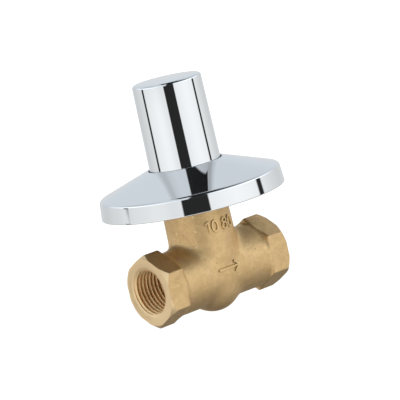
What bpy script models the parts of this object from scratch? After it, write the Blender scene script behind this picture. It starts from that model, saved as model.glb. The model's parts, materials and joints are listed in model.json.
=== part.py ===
"""Concealed stop valve for a half-inch pipe: a cast brass globe valve with two
hexagon sockets, a screw-down headwork in its neck, a plain chrome cap over the
key-operated spindle and a chrome wall flange that slides on the cap.

Frame: +X along the pipe from inlet to outlet, +Z up the spindle, origin where
the pipe axis crosses the spindle axis. The valve is closed, the cap is on.
"""

import math

import bmesh
import bpy
from mathutils import Matrix

MM = 0.001

# Clearances
FIT = 0.3 * MM  # between faces that touch, slide or screw together
RUN = 0.4 * MM  # left at the end of a stroke

# Pipe sockets, parallel half-inch thread
THREAD_MINOR_RADIUS = 9.3 * MM
THREAD_DEPTH = 1.16 * MM
LEAD_IN = 0.85 * MM
SOCKET_DEPTH = 15.0 * MM
SOCKET_WALL = 3.14 * MM
PASSAGE_STEP = 0.9 * MM

# Outside of the body casting
BODY_LENGTH = 64.6 * MM
HEX_WIDTH = 9.3 * MM
HEX_CHAMFER = 1.45 * MM
HEX_BACK_EDGE = 0.7 * MM
HEX_PROUD = 0.15 * MM
NECK_WALL = 2.1 * MM
NECK_DRAFT = 0.02
NECK_ROOT_FILLET = 4.5 * MM
NECK_ROOT_FADE = 0.03
NECK_ROOT_SUNK = 0.25 * MM
BOWL_DEPTH = 4.8 * MM
BOWL_WALL = 1.8 * MM
BOWL_SHOULDER = 6.0 * MM

# Web and seat between the inlet and the outlet side
WEB_TOP = 2.0 * MM
WEB_THICKNESS = 2.5 * MM
WEB_LEAN = 2.0 * MM
WEB_CORNER = 1.2 * MM
SEAT_BORE_RADIUS = 6.0 * MM
SEAT_LAND = 1.0 * MM
SEAT_HEIGHT = 1.0 * MM

# Disc carrier and its washer
VALVE_LIFT = 6.0 * MM
WASHER_THICKNESS = 3.0 * MM
WASHER_OVERLAP = 0.5 * MM
WASHER_SHOWING = 1.0 * MM
CARRIER_RIM = 0.7 * MM
CARRIER_HEAD = 2.0 * MM
CARRIER_WALL = 2.4 * MM
CARRIER_HEX_WALL = 1.15 * MM
GUIDE_OVERLAP = 4.2 * MM
HEX_ENGAGEMENT = 4.5 * MM
SCREW_RADIUS = 1.7 * MM
SCREW_HEAD_RADIUS = 3.1 * MM
SCREW_HEAD_HEIGHT = 1.5 * MM
SCREW_GRIP = 3.6 * MM
SCREW_SLOT = 0.8 * MM
PLATE_OVERLAP = 1.1 * MM
PLATE_THICKNESS = 0.8 * MM

# Spindle
SPINDLE_THREAD_RADIUS = 4.0 * MM
SPINDLE_RADIUS = 4.5 * MM
COLLAR_STEP = 2.5 * MM
COLLAR_THICKNESS = 2.0 * MM
KEY_SQUARE = 7.0 * MM
KEY_LENGTH = 10.0 * MM
KEY_STANDS_OFF = 3.6 * MM
END_CHAMFER = 0.6 * MM

# Bonnet
GUIDE_WALL = 2.9 * MM
BARREL_CLEARANCE = 0.5 * MM
BONNET_THREAD_STEP = 1.3 * MM
BONNET_THREAD_LENGTH = 11.5 * MM
THREAD_RELIEF = 0.6 * MM
NECK_BELOW_CHAMBER = 5.8 * MM
GASKET_THICKNESS = 1.2 * MM
SHOULDER_THICKNESS = 1.7 * MM
SHOULDER_STEP = 3.45 * MM
COLLAR_HEIGHT = 7.6 * MM
BONNET_HEX_WALL = 2.5 * MM

# Gland
THRUST_WASHER = 0.8 * MM
PACKING_HEIGHT = 3.0 * MM
FOLLOWER_HEIGHT = 1.5 * MM
GLAND_THREAD_LENGTH = 4.4 * MM
GLAND_HEX_HEIGHT = 4.4 * MM
GLAND_HEX_OVERHANG = 0.9 * MM
GLAND_RING_SECTION = 0.75 * MM

# Rubber rings
CARRIER_RING_SECTION = 0.75 * MM
CAP_RING_SECTION = 0.8 * MM
GRIP_RING_SECTION = 0.85 * MM

# Cap
CAP_WALL = 1.0 * MM
CAP_CLEARANCE = 0.45 * MM
CAP_HEIGHT = 47.2 * MM
CAP_TAPER = 0.013
CAP_EDGE_RADIUS = 0.9 * MM
CAP_EDGE_TURN = 80  # degrees of the rounded edge, up to the dome
CAP_DOME = 0.5 * MM

# Wall flange
FLANGE_SHEET = 0.9 * MM
FLANGE_RADIUS = 38.35 * MM
FLANGE_HEIGHT = 15.6 * MM
FLANGE_DROP = 4.4 * MM
FLANGE_CLEARANCE = 0.45 * MM
RIM_HEIGHT = 6.5 * MM
RIM_TAPER = 0.35 * MM
RIM_EDGE_RADIUS = 1.5 * MM
MOUTH_RADIUS = 0.5 * MM
BEAD_DROP = 4.4 * MM
BEAD_LIP = 1.4 * MM

# Facets round a turned piece
LARGE_STEPS = 48
BODY_STEPS = 36
SMALL_STEPS = 24
RING_SIDES = 8

# Radii worked out from the spindle outwards
COS30 = math.cos(math.radians(30))
CARRIER_BORE = SPINDLE_THREAD_RADIUS + FIT
CARRIER_RADIUS = CARRIER_BORE + CARRIER_WALL
CARRIER_HEX = 2 * (CARRIER_BORE + CARRIER_HEX_WALL)
GUIDE_RADIUS = CARRIER_RADIUS + FIT
GUIDE_HEX = CARRIER_HEX + 2 * FIT
BARREL_RADIUS = GUIDE_RADIUS + GUIDE_WALL
BONNET_THREAD_RADIUS = BARREL_RADIUS + BONNET_THREAD_STEP
NECK_BORE = BONNET_THREAD_RADIUS + FIT
NECK_RADIUS = NECK_BORE + NECK_WALL
CHAMBER_BORE = BARREL_RADIUS + BARREL_CLEARANCE
BOWL_RADIUS = CHAMBER_BORE + BOWL_WALL
SEAT_RADIUS = SEAT_BORE_RADIUS + SEAT_LAND
WASHER_RADIUS = SEAT_RADIUS + WASHER_OVERLAP
HEAD_RADIUS = WASHER_RADIUS + FIT + CARRIER_RIM
SPINDLE_BORE = SPINDLE_RADIUS + FIT
SPINDLE_COLLAR = SPINDLE_RADIUS + COLLAR_STEP
GLAND_BORE = SPINDLE_COLLAR + FIT
BONNET_HEX = 2 * (GLAND_BORE + BONNET_HEX_WALL)
SHOULDER_RADIUS = BONNET_THREAD_RADIUS + SHOULDER_STEP
CAP_OUTER = SHOULDER_RADIUS + FIT
THREAD_MAJOR_RADIUS = THREAD_MINOR_RADIUS + THREAD_DEPTH
LEAD_IN_RADIUS = THREAD_MAJOR_RADIUS + LEAD_IN
BODY_HEX = 2 * (THREAD_MAJOR_RADIUS + SOCKET_WALL)
BODY_CORNER = BODY_HEX / 2 / COS30
TUBE_RADIUS = BODY_HEX / 2 - HEX_PROUD
PASSAGE_RADIUS = THREAD_MINOR_RADIUS - PASSAGE_STEP

# Levels worked out from the seat upwards
SEAT_LEVEL = WEB_TOP + SEAT_HEIGHT
WASHER_BOTTOM = SEAT_LEVEL + FIT
WASHER_TOP = WASHER_BOTTOM + WASHER_THICKNESS
RIM_BOTTOM = WASHER_BOTTOM + WASHER_SHOWING
HEAD_FLOOR = WASHER_TOP + FIT
HEAD_TOP = HEAD_FLOOR + CARRIER_HEAD
PLATE_TOP = WASHER_BOTTOM - FIT
SCREW_HEAD_TOP = PLATE_TOP - PLATE_THICKNESS - FIT
SCREW_END = HEAD_FLOOR + SCREW_GRIP
CARRIER_BORE_END = SCREW_END + 2 * RUN + FIT
BARREL_BOTTOM = HEAD_TOP + VALVE_LIFT + RUN
CARRIER_ROUND_TOP = BARREL_BOTTOM + GUIDE_OVERLAP
GUIDE_TOP = CARRIER_ROUND_TOP + VALVE_LIFT + RUN
CARRIER_TOP = GUIDE_TOP + HEX_ENGAGEMENT
CHAMBER_FLOOR = CARRIER_TOP + VALVE_LIFT + RUN
NECK_TOP = CHAMBER_FLOOR - NECK_BELOW_CHAMBER
GASKET_BOTTOM = NECK_TOP + FIT
SHOULDER_BOTTOM = GASKET_BOTTOM + GASKET_THICKNESS + FIT
SHOULDER_TOP = SHOULDER_BOTTOM + SHOULDER_THICKNESS
COLLAR_TOP = SHOULDER_TOP + COLLAR_HEIGHT
LOWER_WASHER = CHAMBER_FLOOR + FIT
SPINDLE_COLLAR_BOTTOM = LOWER_WASHER + THRUST_WASHER + FIT
UPPER_WASHER = SPINDLE_COLLAR_BOTTOM + COLLAR_THICKNESS + FIT
PACKING_BOTTOM = UPPER_WASHER + THRUST_WASHER + FIT
FOLLOWER_BOTTOM = PACKING_BOTTOM + PACKING_HEIGHT + FIT
GLAND_BOTTOM = FOLLOWER_BOTTOM + FOLLOWER_HEIGHT + FIT
BONNET_TOP = GLAND_BOTTOM + GLAND_THREAD_LENGTH
GLAND_HEX_BOTTOM = BONNET_TOP + FIT
GLAND_TOP = GLAND_HEX_BOTTOM + GLAND_HEX_HEIGHT
KEY_BOTTOM = GLAND_TOP + KEY_STANDS_OFF
SPINDLE_TOP = KEY_BOTTOM + KEY_LENGTH
SPINDLE_END = CARRIER_BORE_END + VALVE_LIFT + RUN
CAP_BOTTOM = SHOULDER_TOP + FIT
FLANGE_BOTTOM = CAP_BOTTOM - FLANGE_DROP


def clear_scene():
    for item in list(bpy.data.objects):
        bpy.data.objects.remove(item, do_unlink=True)


def finish(name, colour, roughness, metallic):
    """A plain surface finish."""
    made = bpy.data.materials.new(name)
    made.use_nodes = True
    shader = made.node_tree.nodes["Principled BSDF"]
    shader.inputs["Base Color"].default_value = (*colour, 1.0)
    shader.inputs["Roughness"].default_value = roughness
    shader.inputs["Metallic"].default_value = metallic
    made.diffuse_color = (*colour, 1.0)
    return made


def all_finishes():
    return {
        "cast_brass": finish("cast_brass", (0.60, 0.42, 0.19), 0.55, 1.0),
        "turned_brass": finish("turned_brass", (0.78, 0.58, 0.30), 0.30, 1.0),
        "chrome": finish("chrome", (0.86, 0.88, 0.90), 0.05, 1.0),
        "rubber": finish("rubber", (0.02, 0.02, 0.02), 0.60, 0.0),
        "fluoroplastic": finish("fluoroplastic", (0.85, 0.85, 0.82), 0.45, 0.0),
        "fibre": finish("fibre", (0.36, 0.09, 0.05), 0.80, 0.0),
    }


def mesh_object(name, bm, material=None, level=0.0):
    """The finished mesh as an object at this level on the spindle axis."""
    bmesh.ops.recalc_face_normals(bm, faces=bm.faces)
    mesh = bpy.data.meshes.new(name)
    bm.to_mesh(mesh)
    bm.free()
    mesh.shade_smooth()
    mesh.set_sharp_from_angle(angle=math.radians(35))
    if material:
        mesh.materials.append(material)
    made = bpy.data.objects.new(name, mesh)
    made.location.z = level
    bpy.context.scene.collection.objects.link(made)
    return made


def turned(name, section, material=None, level=0.0, steps=SMALL_STEPS, along_pipe=False):
    """A section of (radius, height) points spun once round. It is closed, or
    runs from axis to axis. Heights count from the level given."""
    bm = bmesh.new()
    points = [bm.verts.new((radius, 0.0, height)) for radius, height in section]
    open_ended = section[0][0] == 0.0 and section[-1][0] == 0.0
    ends = points[1:] if open_ended else points[1:] + points[:1]
    edges = [bm.edges.new(pair) for pair in zip(points, ends)]
    bmesh.ops.spin(
        bm,
        geom=points + edges,
        cent=(0.0, 0.0, 0.0),
        axis=(0.0, 0.0, 1.0),
        angle=2 * math.pi,
        steps=steps,
        use_merge=True,
    )
    bmesh.ops.remove_doubles(bm, verts=bm.verts, dist=1e-7)
    if along_pipe:
        bmesh.ops.transform(bm, matrix=Matrix.Rotation(math.radians(90), 4, "Y"), verts=bm.verts)
    return mesh_object(name, bm, material, level)


def flat_mill(name, sides, across_flats, low, high, reach, along_pipe=False):
    """What a milling cutter removes when it leaves this many flats on a round
    bar: a thick ring with a many-sided hole, which reaches past the bar."""
    bm = bmesh.new()
    rings = []
    for height in (low, high):
        for flat in (across_flats / 2, reach):
            radius = flat / math.cos(math.pi / sides)
            angles = [2 * math.pi * (side + 0.5 * (sides == 4)) / sides for side in range(sides)]
            ring = [(radius * math.cos(a), radius * math.sin(a), height) for a in angles]
            rings.append([bm.verts.new(point) for point in ring])
    inner_low, outer_low, inner_high, outer_high = rings
    for first, second in (
        (inner_low, outer_low),
        (outer_low, outer_high),
        (outer_high, inner_high),
        (inner_high, inner_low),
    ):
        for side in range(sides):
            after = (side + 1) % sides
            bm.faces.new((first[side], first[after], second[after], second[side]))
    if along_pipe:
        bmesh.ops.transform(bm, matrix=Matrix.Rotation(math.radians(90), 4, "Y"), verts=bm.verts)
    return mesh_object(name, bm)


def prism(name, outline, low, high):
    """An outline of (across, up) points drawn out along the pipe's side way."""
    bm = bmesh.new()
    face = bm.faces.new([bm.verts.new((across, low, up)) for across, up in outline])
    drawn = bmesh.ops.extrude_face_region(bm, geom=[face])["geom"]
    moved = [item for item in drawn if isinstance(item, bmesh.types.BMVert)]
    bmesh.ops.translate(bm, vec=(0.0, high - low, 0.0), verts=moved)
    return mesh_object(name, bm)


def hexagon_bar(name, across_flats, low, high):
    bm = bmesh.new()
    radius = across_flats / 2 / COS30
    corner_on_x = Matrix.Rotation(math.radians(30), 4, "Z")
    bmesh.ops.create_cone(
        bm,
        cap_ends=True,
        segments=6,
        radius1=radius,
        radius2=radius,
        depth=high - low,
        matrix=Matrix.Translation((0.0, 0.0, (low + high) / 2)) @ corner_on_x,
    )
    return mesh_object(name, bm)


def combine(target, tool, operation):
    """A Boolean with a hidden tool that stays with its target."""
    tool.hide_render = True
    tool.display_type = "WIRE"
    modifier = target.modifiers.new(f"{operation.lower()}_{tool.name}", "BOOLEAN")
    modifier.operation = operation
    modifier.solver = "EXACT"
    modifier.object = tool
    tool.parent = target
    tool.location.z -= target.location.z


def carry(carrier, *pieces):
    for piece in pieces:
        piece.parent = carrier
        piece.location.z -= carrier.location.z


def arc(centre, radius, start, end, steps):
    """Points on a circle in a section, from one angle to another in degrees."""
    made = []
    for step in range(steps + 1):
        angle = math.radians(start + (end - start) * step / steps)
        made.append((centre[0] + radius * math.cos(angle), centre[1] + radius * math.sin(angle)))
    return made


def ring_section(centre_radius, section_radius):
    """A round rubber ring's section, centred on its own level."""
    return arc((centre_radius, 0.0), section_radius, 0, 360, RING_SIDES)[:-1]


def bush_section(inner, outer, height, edge=0.0):
    """A plain ring's section, its outer corners cut back by an edge if given."""
    low = [(inner, 0.0), (outer - edge, 0.0)]
    high = [(outer - edge, height), (inner, height)]
    if edge:
        return low + [(outer, edge), (outer, height - edge)] + high
    return low + high


def sheet_section(face, thickness):
    """A pressed sheet's closed section, from the points of its show face. The
    sheet lies to the right of the way the points run."""
    back = []
    for index, point in enumerate(face):
        before = face[max(index - 1, 0)]
        after = face[min(index + 1, len(face) - 1)]
        ways = []
        for first, second in ((before, point), (point, after)):
            run, rise = second[0] - first[0], second[1] - first[1]
            length = math.hypot(run, rise)
            if length > 0.0:
                ways.append((rise / length, -run / length))
        across = sum(way[0] for way in ways) / len(ways)
        up = sum(way[1] for way in ways) / len(ways)
        mitre = thickness / (across * across + up * up)
        back.append((point[0] + across * mitre, point[1] + up * mitre))
    return face + back[::-1]


def neck_radius(height):
    """The upright's outside: casting draft down to the tube, then a closer
    taper into the bowl."""
    root = NECK_RADIUS + NECK_DRAFT * (NECK_TOP - BOWL_SHOULDER)
    if height >= BOWL_SHOULDER:
        return NECK_RADIUS + NECK_DRAFT * (NECK_TOP - height)
    share = (height + BOWL_DEPTH) / (BOWL_SHOULDER + BOWL_DEPTH)
    return BOWL_RADIUS + (root - BOWL_RADIUS) * share


def cap_radius(height):
    """The cap's tapered outside at this height above its rim."""
    return CAP_OUTER - CAP_TAPER * height


def body_blank(material):
    """The turned outside along the pipe: two end rings and the tube."""
    face = BODY_LENGTH / 2
    back = face - HEX_WIDTH
    half = [
        (0.0, face),
        (BODY_CORNER - HEX_CHAMFER, face),
        (BODY_CORNER, face - HEX_CHAMFER),
        (BODY_CORNER, back + HEX_BACK_EDGE),
        (BODY_CORNER - HEX_BACK_EDGE, back),
        (TUBE_RADIUS, back),
    ]
    section = half + [(radius, -place) for radius, place in reversed(half)]
    return turned("valve_body", section, material, steps=BODY_STEPS, along_pipe=True)


def neck_and_bowl():
    """The upright thimble of the casting: the neck and the round bowl under it."""
    bowl = arc((0.0, -BOWL_DEPTH), BOWL_RADIUS, -90, 0, 8)
    bowl[0] = (0.0, bowl[0][1])
    section = bowl + [
        (neck_radius(BOWL_SHOULDER), BOWL_SHOULDER),
        (NECK_RADIUS, NECK_TOP),
        (0.0, NECK_TOP),
    ]
    return turned("body_thimble", section, steps=BODY_STEPS)


def neck_root():
    """The fillet where the neck stands on the tube: full along the pipe, fading
    to nothing at the sides, where neck and tube are nearly flush."""
    bm = bmesh.new()
    top = TUBE_RADIUS + NECK_ROOT_FILLET + BOWL_DEPTH
    rings = [[] for _ in range(8)]
    for step in range(BODY_STEPS):
        turn = 2 * math.pi * step / BODY_STEPS
        share = math.cos(turn) ** 2
        flare = NECK_ROOT_FILLET * (NECK_ROOT_FADE + (1 - NECK_ROOT_FADE) * share)
        points = [(neck_radius(top) - NECK_ROOT_SUNK, top)]
        for part in range(6):
            angle = math.radians(18 * part)
            outward = flare * (1 - math.cos(angle)) - NECK_ROOT_SUNK
            aside = abs((neck_radius(TUBE_RADIUS) + outward) * math.sin(turn))
            saddle = math.sqrt(max(TUBE_RADIUS**2 - aside**2, 0.0))
            height = saddle + flare * (1 - math.sin(angle)) - NECK_ROOT_SUNK
            points.append((neck_radius(height) + outward, height))
        points.append((PASSAGE_RADIUS, -BOWL_DEPTH))
        for ring, (radius, height) in zip(rings, points):
            place = (radius * math.cos(turn), radius * math.sin(turn), height)
            ring.append(bm.verts.new(place))
    for upper, lower in zip(rings, rings[1:]):
        for step in range(BODY_STEPS):
            after = (step + 1) % BODY_STEPS
            bm.faces.new((upper[step], upper[after], lower[after], lower[step]))
    bm.faces.new(rings[0])
    bm.faces.new(rings[-1])
    return mesh_object("body_neck_root", bm)


def water_way():
    """The cored passages as one solid: sockets, tunnel, bowl, chamber and neck
    bore, less the web and its seat."""
    face = BODY_LENGTH / 2
    past = face + LEAD_IN
    thread_start = face - 2 * LEAD_IN
    half = [
        (0.0, past),
        (LEAD_IN_RADIUS, past),
        (LEAD_IN_RADIUS, face),
        (THREAD_MAJOR_RADIUS, thread_start),
        (THREAD_MINOR_RADIUS, thread_start - THREAD_DEPTH),
        (THREAD_MINOR_RADIUS, face - SOCKET_DEPTH),
        (PASSAGE_RADIUS, face - SOCKET_DEPTH - PASSAGE_STEP),
    ]
    section = half + [(radius, -place) for radius, place in reversed(half)]
    made = turned("body_water_way", section, steps=BODY_STEPS, along_pipe=True)

    thread_end = NECK_TOP - BONNET_THREAD_LENGTH - THREAD_RELIEF
    bowl = arc((0.0, -BOWL_DEPTH), CHAMBER_BORE, -90, 0, 7)
    bowl[0] = (0.0, bowl[0][1])
    upright = bowl + [
        (CHAMBER_BORE, thread_end - BONNET_THREAD_STEP),
        (NECK_BORE, thread_end),
        (NECK_BORE, NECK_TOP - END_CHAMFER),
        (NECK_BORE + END_CHAMFER, NECK_TOP),
        (NECK_BORE + END_CHAMFER, NECK_TOP + END_CHAMFER),
        (0.0, NECK_TOP + END_CHAMFER),
    ]
    combine(made, turned("body_upright_bore", upright, steps=BODY_STEPS), "UNION")
    combine(made, web(), "DIFFERENCE")
    seat = [
        (0.0, WEB_TOP - WEB_THICKNESS / 2),
        (SEAT_RADIUS + SEAT_HEIGHT / 2, WEB_TOP - WEB_THICKNESS / 2),
        (SEAT_RADIUS + SEAT_HEIGHT / 2, WEB_TOP),
        (SEAT_RADIUS, SEAT_LEVEL),
        (0.0, SEAT_LEVEL),
    ]
    combine(made, turned("body_seat", seat), "DIFFERENCE")
    bore = [
        (0.0, WEB_TOP - 2 * WEB_THICKNESS),
        (SEAT_BORE_RADIUS, WEB_TOP - 2 * WEB_THICKNESS),
        (SEAT_BORE_RADIUS, SEAT_LEVEL + SEAT_HEIGHT),
        (0.0, SEAT_LEVEL + SEAT_HEIGHT),
    ]
    combine(made, turned("body_seat_bore", bore), "UNION")
    return made


def web():
    """The S-shaped wall across the chamber: it climbs to the roof on the inlet
    side, lies flat under the seat, and drops to the floor on the outlet side."""
    near = HEAD_RADIUS + 2 * RUN
    far = near + WEB_THICKNESS
    reach = PASSAGE_RADIUS + CARRIER_RIM
    under = WEB_TOP - WEB_THICKNESS
    outline = [
        (-near - WEB_LEAN, reach),
        (-near, WEB_TOP),
        (far, WEB_TOP),
        (far + WEB_LEAN, -reach),
        (near + WEB_LEAN, -reach),
        (near, under),
        (-far, under),
        (-far - WEB_LEAN, reach),
    ]
    made = prism("body_web", outline, -NECK_RADIUS, NECK_RADIUS)
    bm = bmesh.new()
    bm.from_mesh(made.data)
    bends = [
        edge
        for edge in bm.edges
        if abs(edge.verts[0].co.y - edge.verts[1].co.y) > NECK_RADIUS
        and abs(edge.verts[0].co.z) < reach - WEB_CORNER
    ]
    bmesh.ops.bevel(
        bm, geom=bends, offset=WEB_CORNER, segments=3, profile=0.5, affect="EDGES"
    )
    bm.to_mesh(made.data)
    bm.free()
    return made


def valve_body(material):
    made = body_blank(material)
    combine(made, neck_and_bowl(), "UNION")
    combine(made, neck_root(), "UNION")
    face = BODY_LENGTH / 2
    for name, side in (("inlet", -1), ("outlet", 1)):
        ends = sorted((side * (face + HEX_CHAMFER), side * (face - HEX_WIDTH - HEX_PROUD)))
        mill = flat_mill(
            f"body_{name}_flats", 6, BODY_HEX, *ends, BODY_CORNER + HEX_CHAMFER, along_pipe=True
        )
        combine(made, mill, "DIFFERENCE")
    combine(made, water_way(), "DIFFERENCE")
    return made


def ring_groove(centre, outer, section_radius):
    """A rectangular groove in an outside face, for a ring at this level."""
    half = section_radius + FIT
    floor = outer + CAP_CLEARANCE - FIT - 2 * section_radius - FIT
    return [
        (outer, centre - half),
        (floor, centre - half),
        (floor, centre + half),
        (outer, centre + half),
    ]


def cap_ring_levels():
    return [SHOULDER_TOP + COLLAR_HEIGHT * share for share in (0.28, 0.74)]


def bonnet(material):
    """The headwork body, turned all over, with a hexagon for the socket key."""
    collar = collar_radius()
    hex_corner = BONNET_HEX / 2 / COS30
    thread_start = NECK_TOP - BONNET_THREAD_LENGTH
    guide_land = GUIDE_HEX / 2 - 2 * FIT
    grooves = []
    for level in cap_ring_levels():
        grooves += ring_groove(level, collar, CAP_RING_SECTION)
    section = [
        (GUIDE_RADIUS + FIT, BARREL_BOTTOM),
        (BARREL_RADIUS - END_CHAMFER, BARREL_BOTTOM),
        (BARREL_RADIUS, BARREL_BOTTOM + END_CHAMFER),
        (BARREL_RADIUS, thread_start),
        (BONNET_THREAD_RADIUS, thread_start + BONNET_THREAD_STEP),
        (BONNET_THREAD_RADIUS, SHOULDER_BOTTOM),
        (SHOULDER_RADIUS, SHOULDER_BOTTOM),
        (SHOULDER_RADIUS, SHOULDER_TOP),
        (collar, SHOULDER_TOP),
        *grooves,
        (collar, COLLAR_TOP - END_CHAMFER),
        (collar - END_CHAMFER, COLLAR_TOP),
        (hex_corner, COLLAR_TOP),
        (hex_corner, BONNET_TOP - END_CHAMFER),
        (hex_corner - END_CHAMFER, BONNET_TOP),
        (GLAND_BORE, BONNET_TOP),
        (GLAND_BORE, CHAMBER_FLOOR),
        (guide_land, CHAMBER_FLOOR),
        (guide_land, GUIDE_TOP),
        (GUIDE_RADIUS, GUIDE_TOP),
        (GUIDE_RADIUS, BARREL_BOTTOM + FIT),
    ]
    heights = [(radius, height - SHOULDER_BOTTOM) for radius, height in section]
    made = turned("bonnet", heights, material, SHOULDER_BOTTOM, BODY_STEPS)
    flats = flat_mill(
        "bonnet_flats", 6, BONNET_HEX, COLLAR_TOP, BONNET_TOP + RUN, collar + END_CHAMFER
    )
    combine(made, flats, "DIFFERENCE")
    guide = hexagon_bar("bonnet_guide", GUIDE_HEX, GUIDE_TOP - RUN, CHAMBER_FLOOR + RUN)
    combine(made, guide, "DIFFERENCE")
    return made


def collar_radius():
    """The bonnet's collar clears the cap's tapered bore at the collar's top."""
    height = COLLAR_TOP - CAP_BOTTOM
    return cap_radius(height) - CAP_WALL - CAP_CLEARANCE


def cap_rings(material):
    made = []
    centre = collar_radius() + CAP_CLEARANCE - FIT - CAP_RING_SECTION
    for name, level in zip(("cap_ring_lower", "cap_ring_upper"), cap_ring_levels()):
        section = ring_section(centre, CAP_RING_SECTION)
        made.append(turned(name, section, material, level))
    return made


def disc_carrier(material):
    """The sliding plug: a cup for the washer, a round stem with a ring groove,
    and a hexagon that stops it turning in the bonnet."""
    groove_half = CARRIER_RING_SECTION + FIT / 2
    groove_level = BARREL_BOTTOM + GUIDE_OVERLAP / 2
    groove_floor = CARRIER_RADIUS - 2 * CARRIER_RING_SECTION - FIT / 3
    section = [
        (WASHER_RADIUS + FIT, RIM_BOTTOM),
        (HEAD_RADIUS, RIM_BOTTOM),
        (HEAD_RADIUS, HEAD_TOP - END_CHAMFER),
        (HEAD_RADIUS - END_CHAMFER, HEAD_TOP),
        (CARRIER_RADIUS, HEAD_TOP),
        (CARRIER_RADIUS, groove_level - groove_half),
        (groove_floor, groove_level - groove_half),
        (groove_floor, groove_level + groove_half),
        (CARRIER_RADIUS, groove_level + groove_half),
        (CARRIER_RADIUS, CARRIER_TOP),
        (CARRIER_BORE, CARRIER_TOP),
        (CARRIER_BORE, CARRIER_BORE_END),
        (SCREW_RADIUS + FIT, CARRIER_BORE_END),
        (SCREW_RADIUS + FIT, HEAD_FLOOR),
        (WASHER_RADIUS + FIT, HEAD_FLOOR),
    ]
    heights = [(radius, height - RIM_BOTTOM) for radius, height in section]
    made = turned("disc_carrier", heights, material, RIM_BOTTOM)
    flats = flat_mill(
        "carrier_flats", 6, CARRIER_HEX, CARRIER_ROUND_TOP, CARRIER_TOP + RUN, GUIDE_RADIUS + RUN
    )
    combine(made, flats, "DIFFERENCE")
    return made


def carrier_ring(material):
    centre = CARRIER_RADIUS - CARRIER_RING_SECTION + FIT / 3
    section = ring_section(centre, CARRIER_RING_SECTION)
    level = BARREL_BOTTOM + GUIDE_OVERLAP / 2
    return turned("carrier_ring", section, material, level)


def seat_washer(material):
    section = bush_section(SCREW_RADIUS + FIT, WASHER_RADIUS, WASHER_THICKNESS, FIT)
    return turned("seat_washer", section, material, WASHER_BOTTOM)


def washer_plate(material):
    outer = SCREW_HEAD_RADIUS + PLATE_OVERLAP
    section = bush_section(SCREW_RADIUS + FIT, outer, PLATE_THICKNESS)
    return turned("washer_plate", section, material, PLATE_TOP - PLATE_THICKNESS)


def washer_screw(material):
    """The cheese-head screw that holds plate and washer, head down."""
    edge = SCREW_HEAD_HEIGHT / 5
    length = SCREW_END - SCREW_HEAD_TOP
    section = [
        (0.0, -SCREW_HEAD_HEIGHT),
        (SCREW_HEAD_RADIUS - edge, -SCREW_HEAD_HEIGHT),
        (SCREW_HEAD_RADIUS, edge - SCREW_HEAD_HEIGHT),
        (SCREW_HEAD_RADIUS, 0.0),
        (SCREW_RADIUS, 0.0),
        (SCREW_RADIUS, length - edge),
        (SCREW_RADIUS - edge, length),
        (0.0, length),
    ]
    made = turned("washer_screw", section, material, SCREW_HEAD_TOP)
    half = SCREW_SLOT / 2
    floor = SCREW_HEAD_TOP - SCREW_HEAD_HEIGHT / 2
    below = SCREW_HEAD_TOP - 2 * SCREW_HEAD_HEIGHT
    outline = [(-half, below), (half, below), (half, floor), (-half, floor)]
    reach = SCREW_HEAD_RADIUS + SCREW_SLOT
    combine(made, prism("screw_slot", outline, -reach, reach), "DIFFERENCE")
    return made


def spindle(material):
    """Turned from bar: the lifting thread, the thrust collar, the shank that
    the gland seals, and a milled square for the key."""
    neck = SPINDLE_THREAD_RADIUS - THREAD_RELIEF
    collar_top = SPINDLE_COLLAR_BOTTOM + COLLAR_THICKNESS
    section = [
        (0.0, SPINDLE_END),
        (SPINDLE_THREAD_RADIUS - END_CHAMFER, SPINDLE_END),
        (SPINDLE_THREAD_RADIUS, SPINDLE_END + END_CHAMFER),
        (SPINDLE_THREAD_RADIUS, CARRIER_TOP + VALVE_LIFT / 2),
        (neck, CARRIER_TOP + VALVE_LIFT / 2 + THREAD_RELIEF),
        (neck, SPINDLE_COLLAR_BOTTOM),
        (SPINDLE_COLLAR, SPINDLE_COLLAR_BOTTOM),
        (SPINDLE_COLLAR, collar_top),
        (SPINDLE_RADIUS, collar_top),
        (SPINDLE_RADIUS, SPINDLE_TOP - END_CHAMFER),
        (SPINDLE_RADIUS - END_CHAMFER, SPINDLE_TOP),
        (0.0, SPINDLE_TOP),
    ]
    heights = [(radius, height - SPINDLE_COLLAR_BOTTOM) for radius, height in section]
    made = turned("spindle", heights, material, SPINDLE_COLLAR_BOTTOM)
    flats = flat_mill(
        "spindle_square", 4, KEY_SQUARE, KEY_BOTTOM, SPINDLE_TOP + RUN, 2 * SPINDLE_RADIUS
    )
    combine(made, flats, "DIFFERENCE")
    return made


def gland_pieces(finishes):
    """The stack that holds the spindle down and seals it, from the bottom up."""
    loose = bush_section(SPINDLE_BORE, SPINDLE_COLLAR, THRUST_WASHER)
    packing = bush_section(SPINDLE_BORE, SPINDLE_COLLAR, PACKING_HEIGHT, FIT)
    follower = bush_section(SPINDLE_BORE, SPINDLE_COLLAR, FOLLOWER_HEIGHT)
    plastic = finishes["fluoroplastic"]
    return [
        turned("thrust_washer_lower", loose, plastic, LOWER_WASHER),
        turned("thrust_washer_upper", loose, plastic, UPPER_WASHER),
        turned("gland_packing", packing, plastic, PACKING_BOTTOM),
        turned("gland_follower", follower, finishes["turned_brass"], FOLLOWER_BOTTOM),
    ]


def gland_ring_level():
    return GLAND_HEX_BOTTOM + GLAND_HEX_HEIGHT / 2


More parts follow.
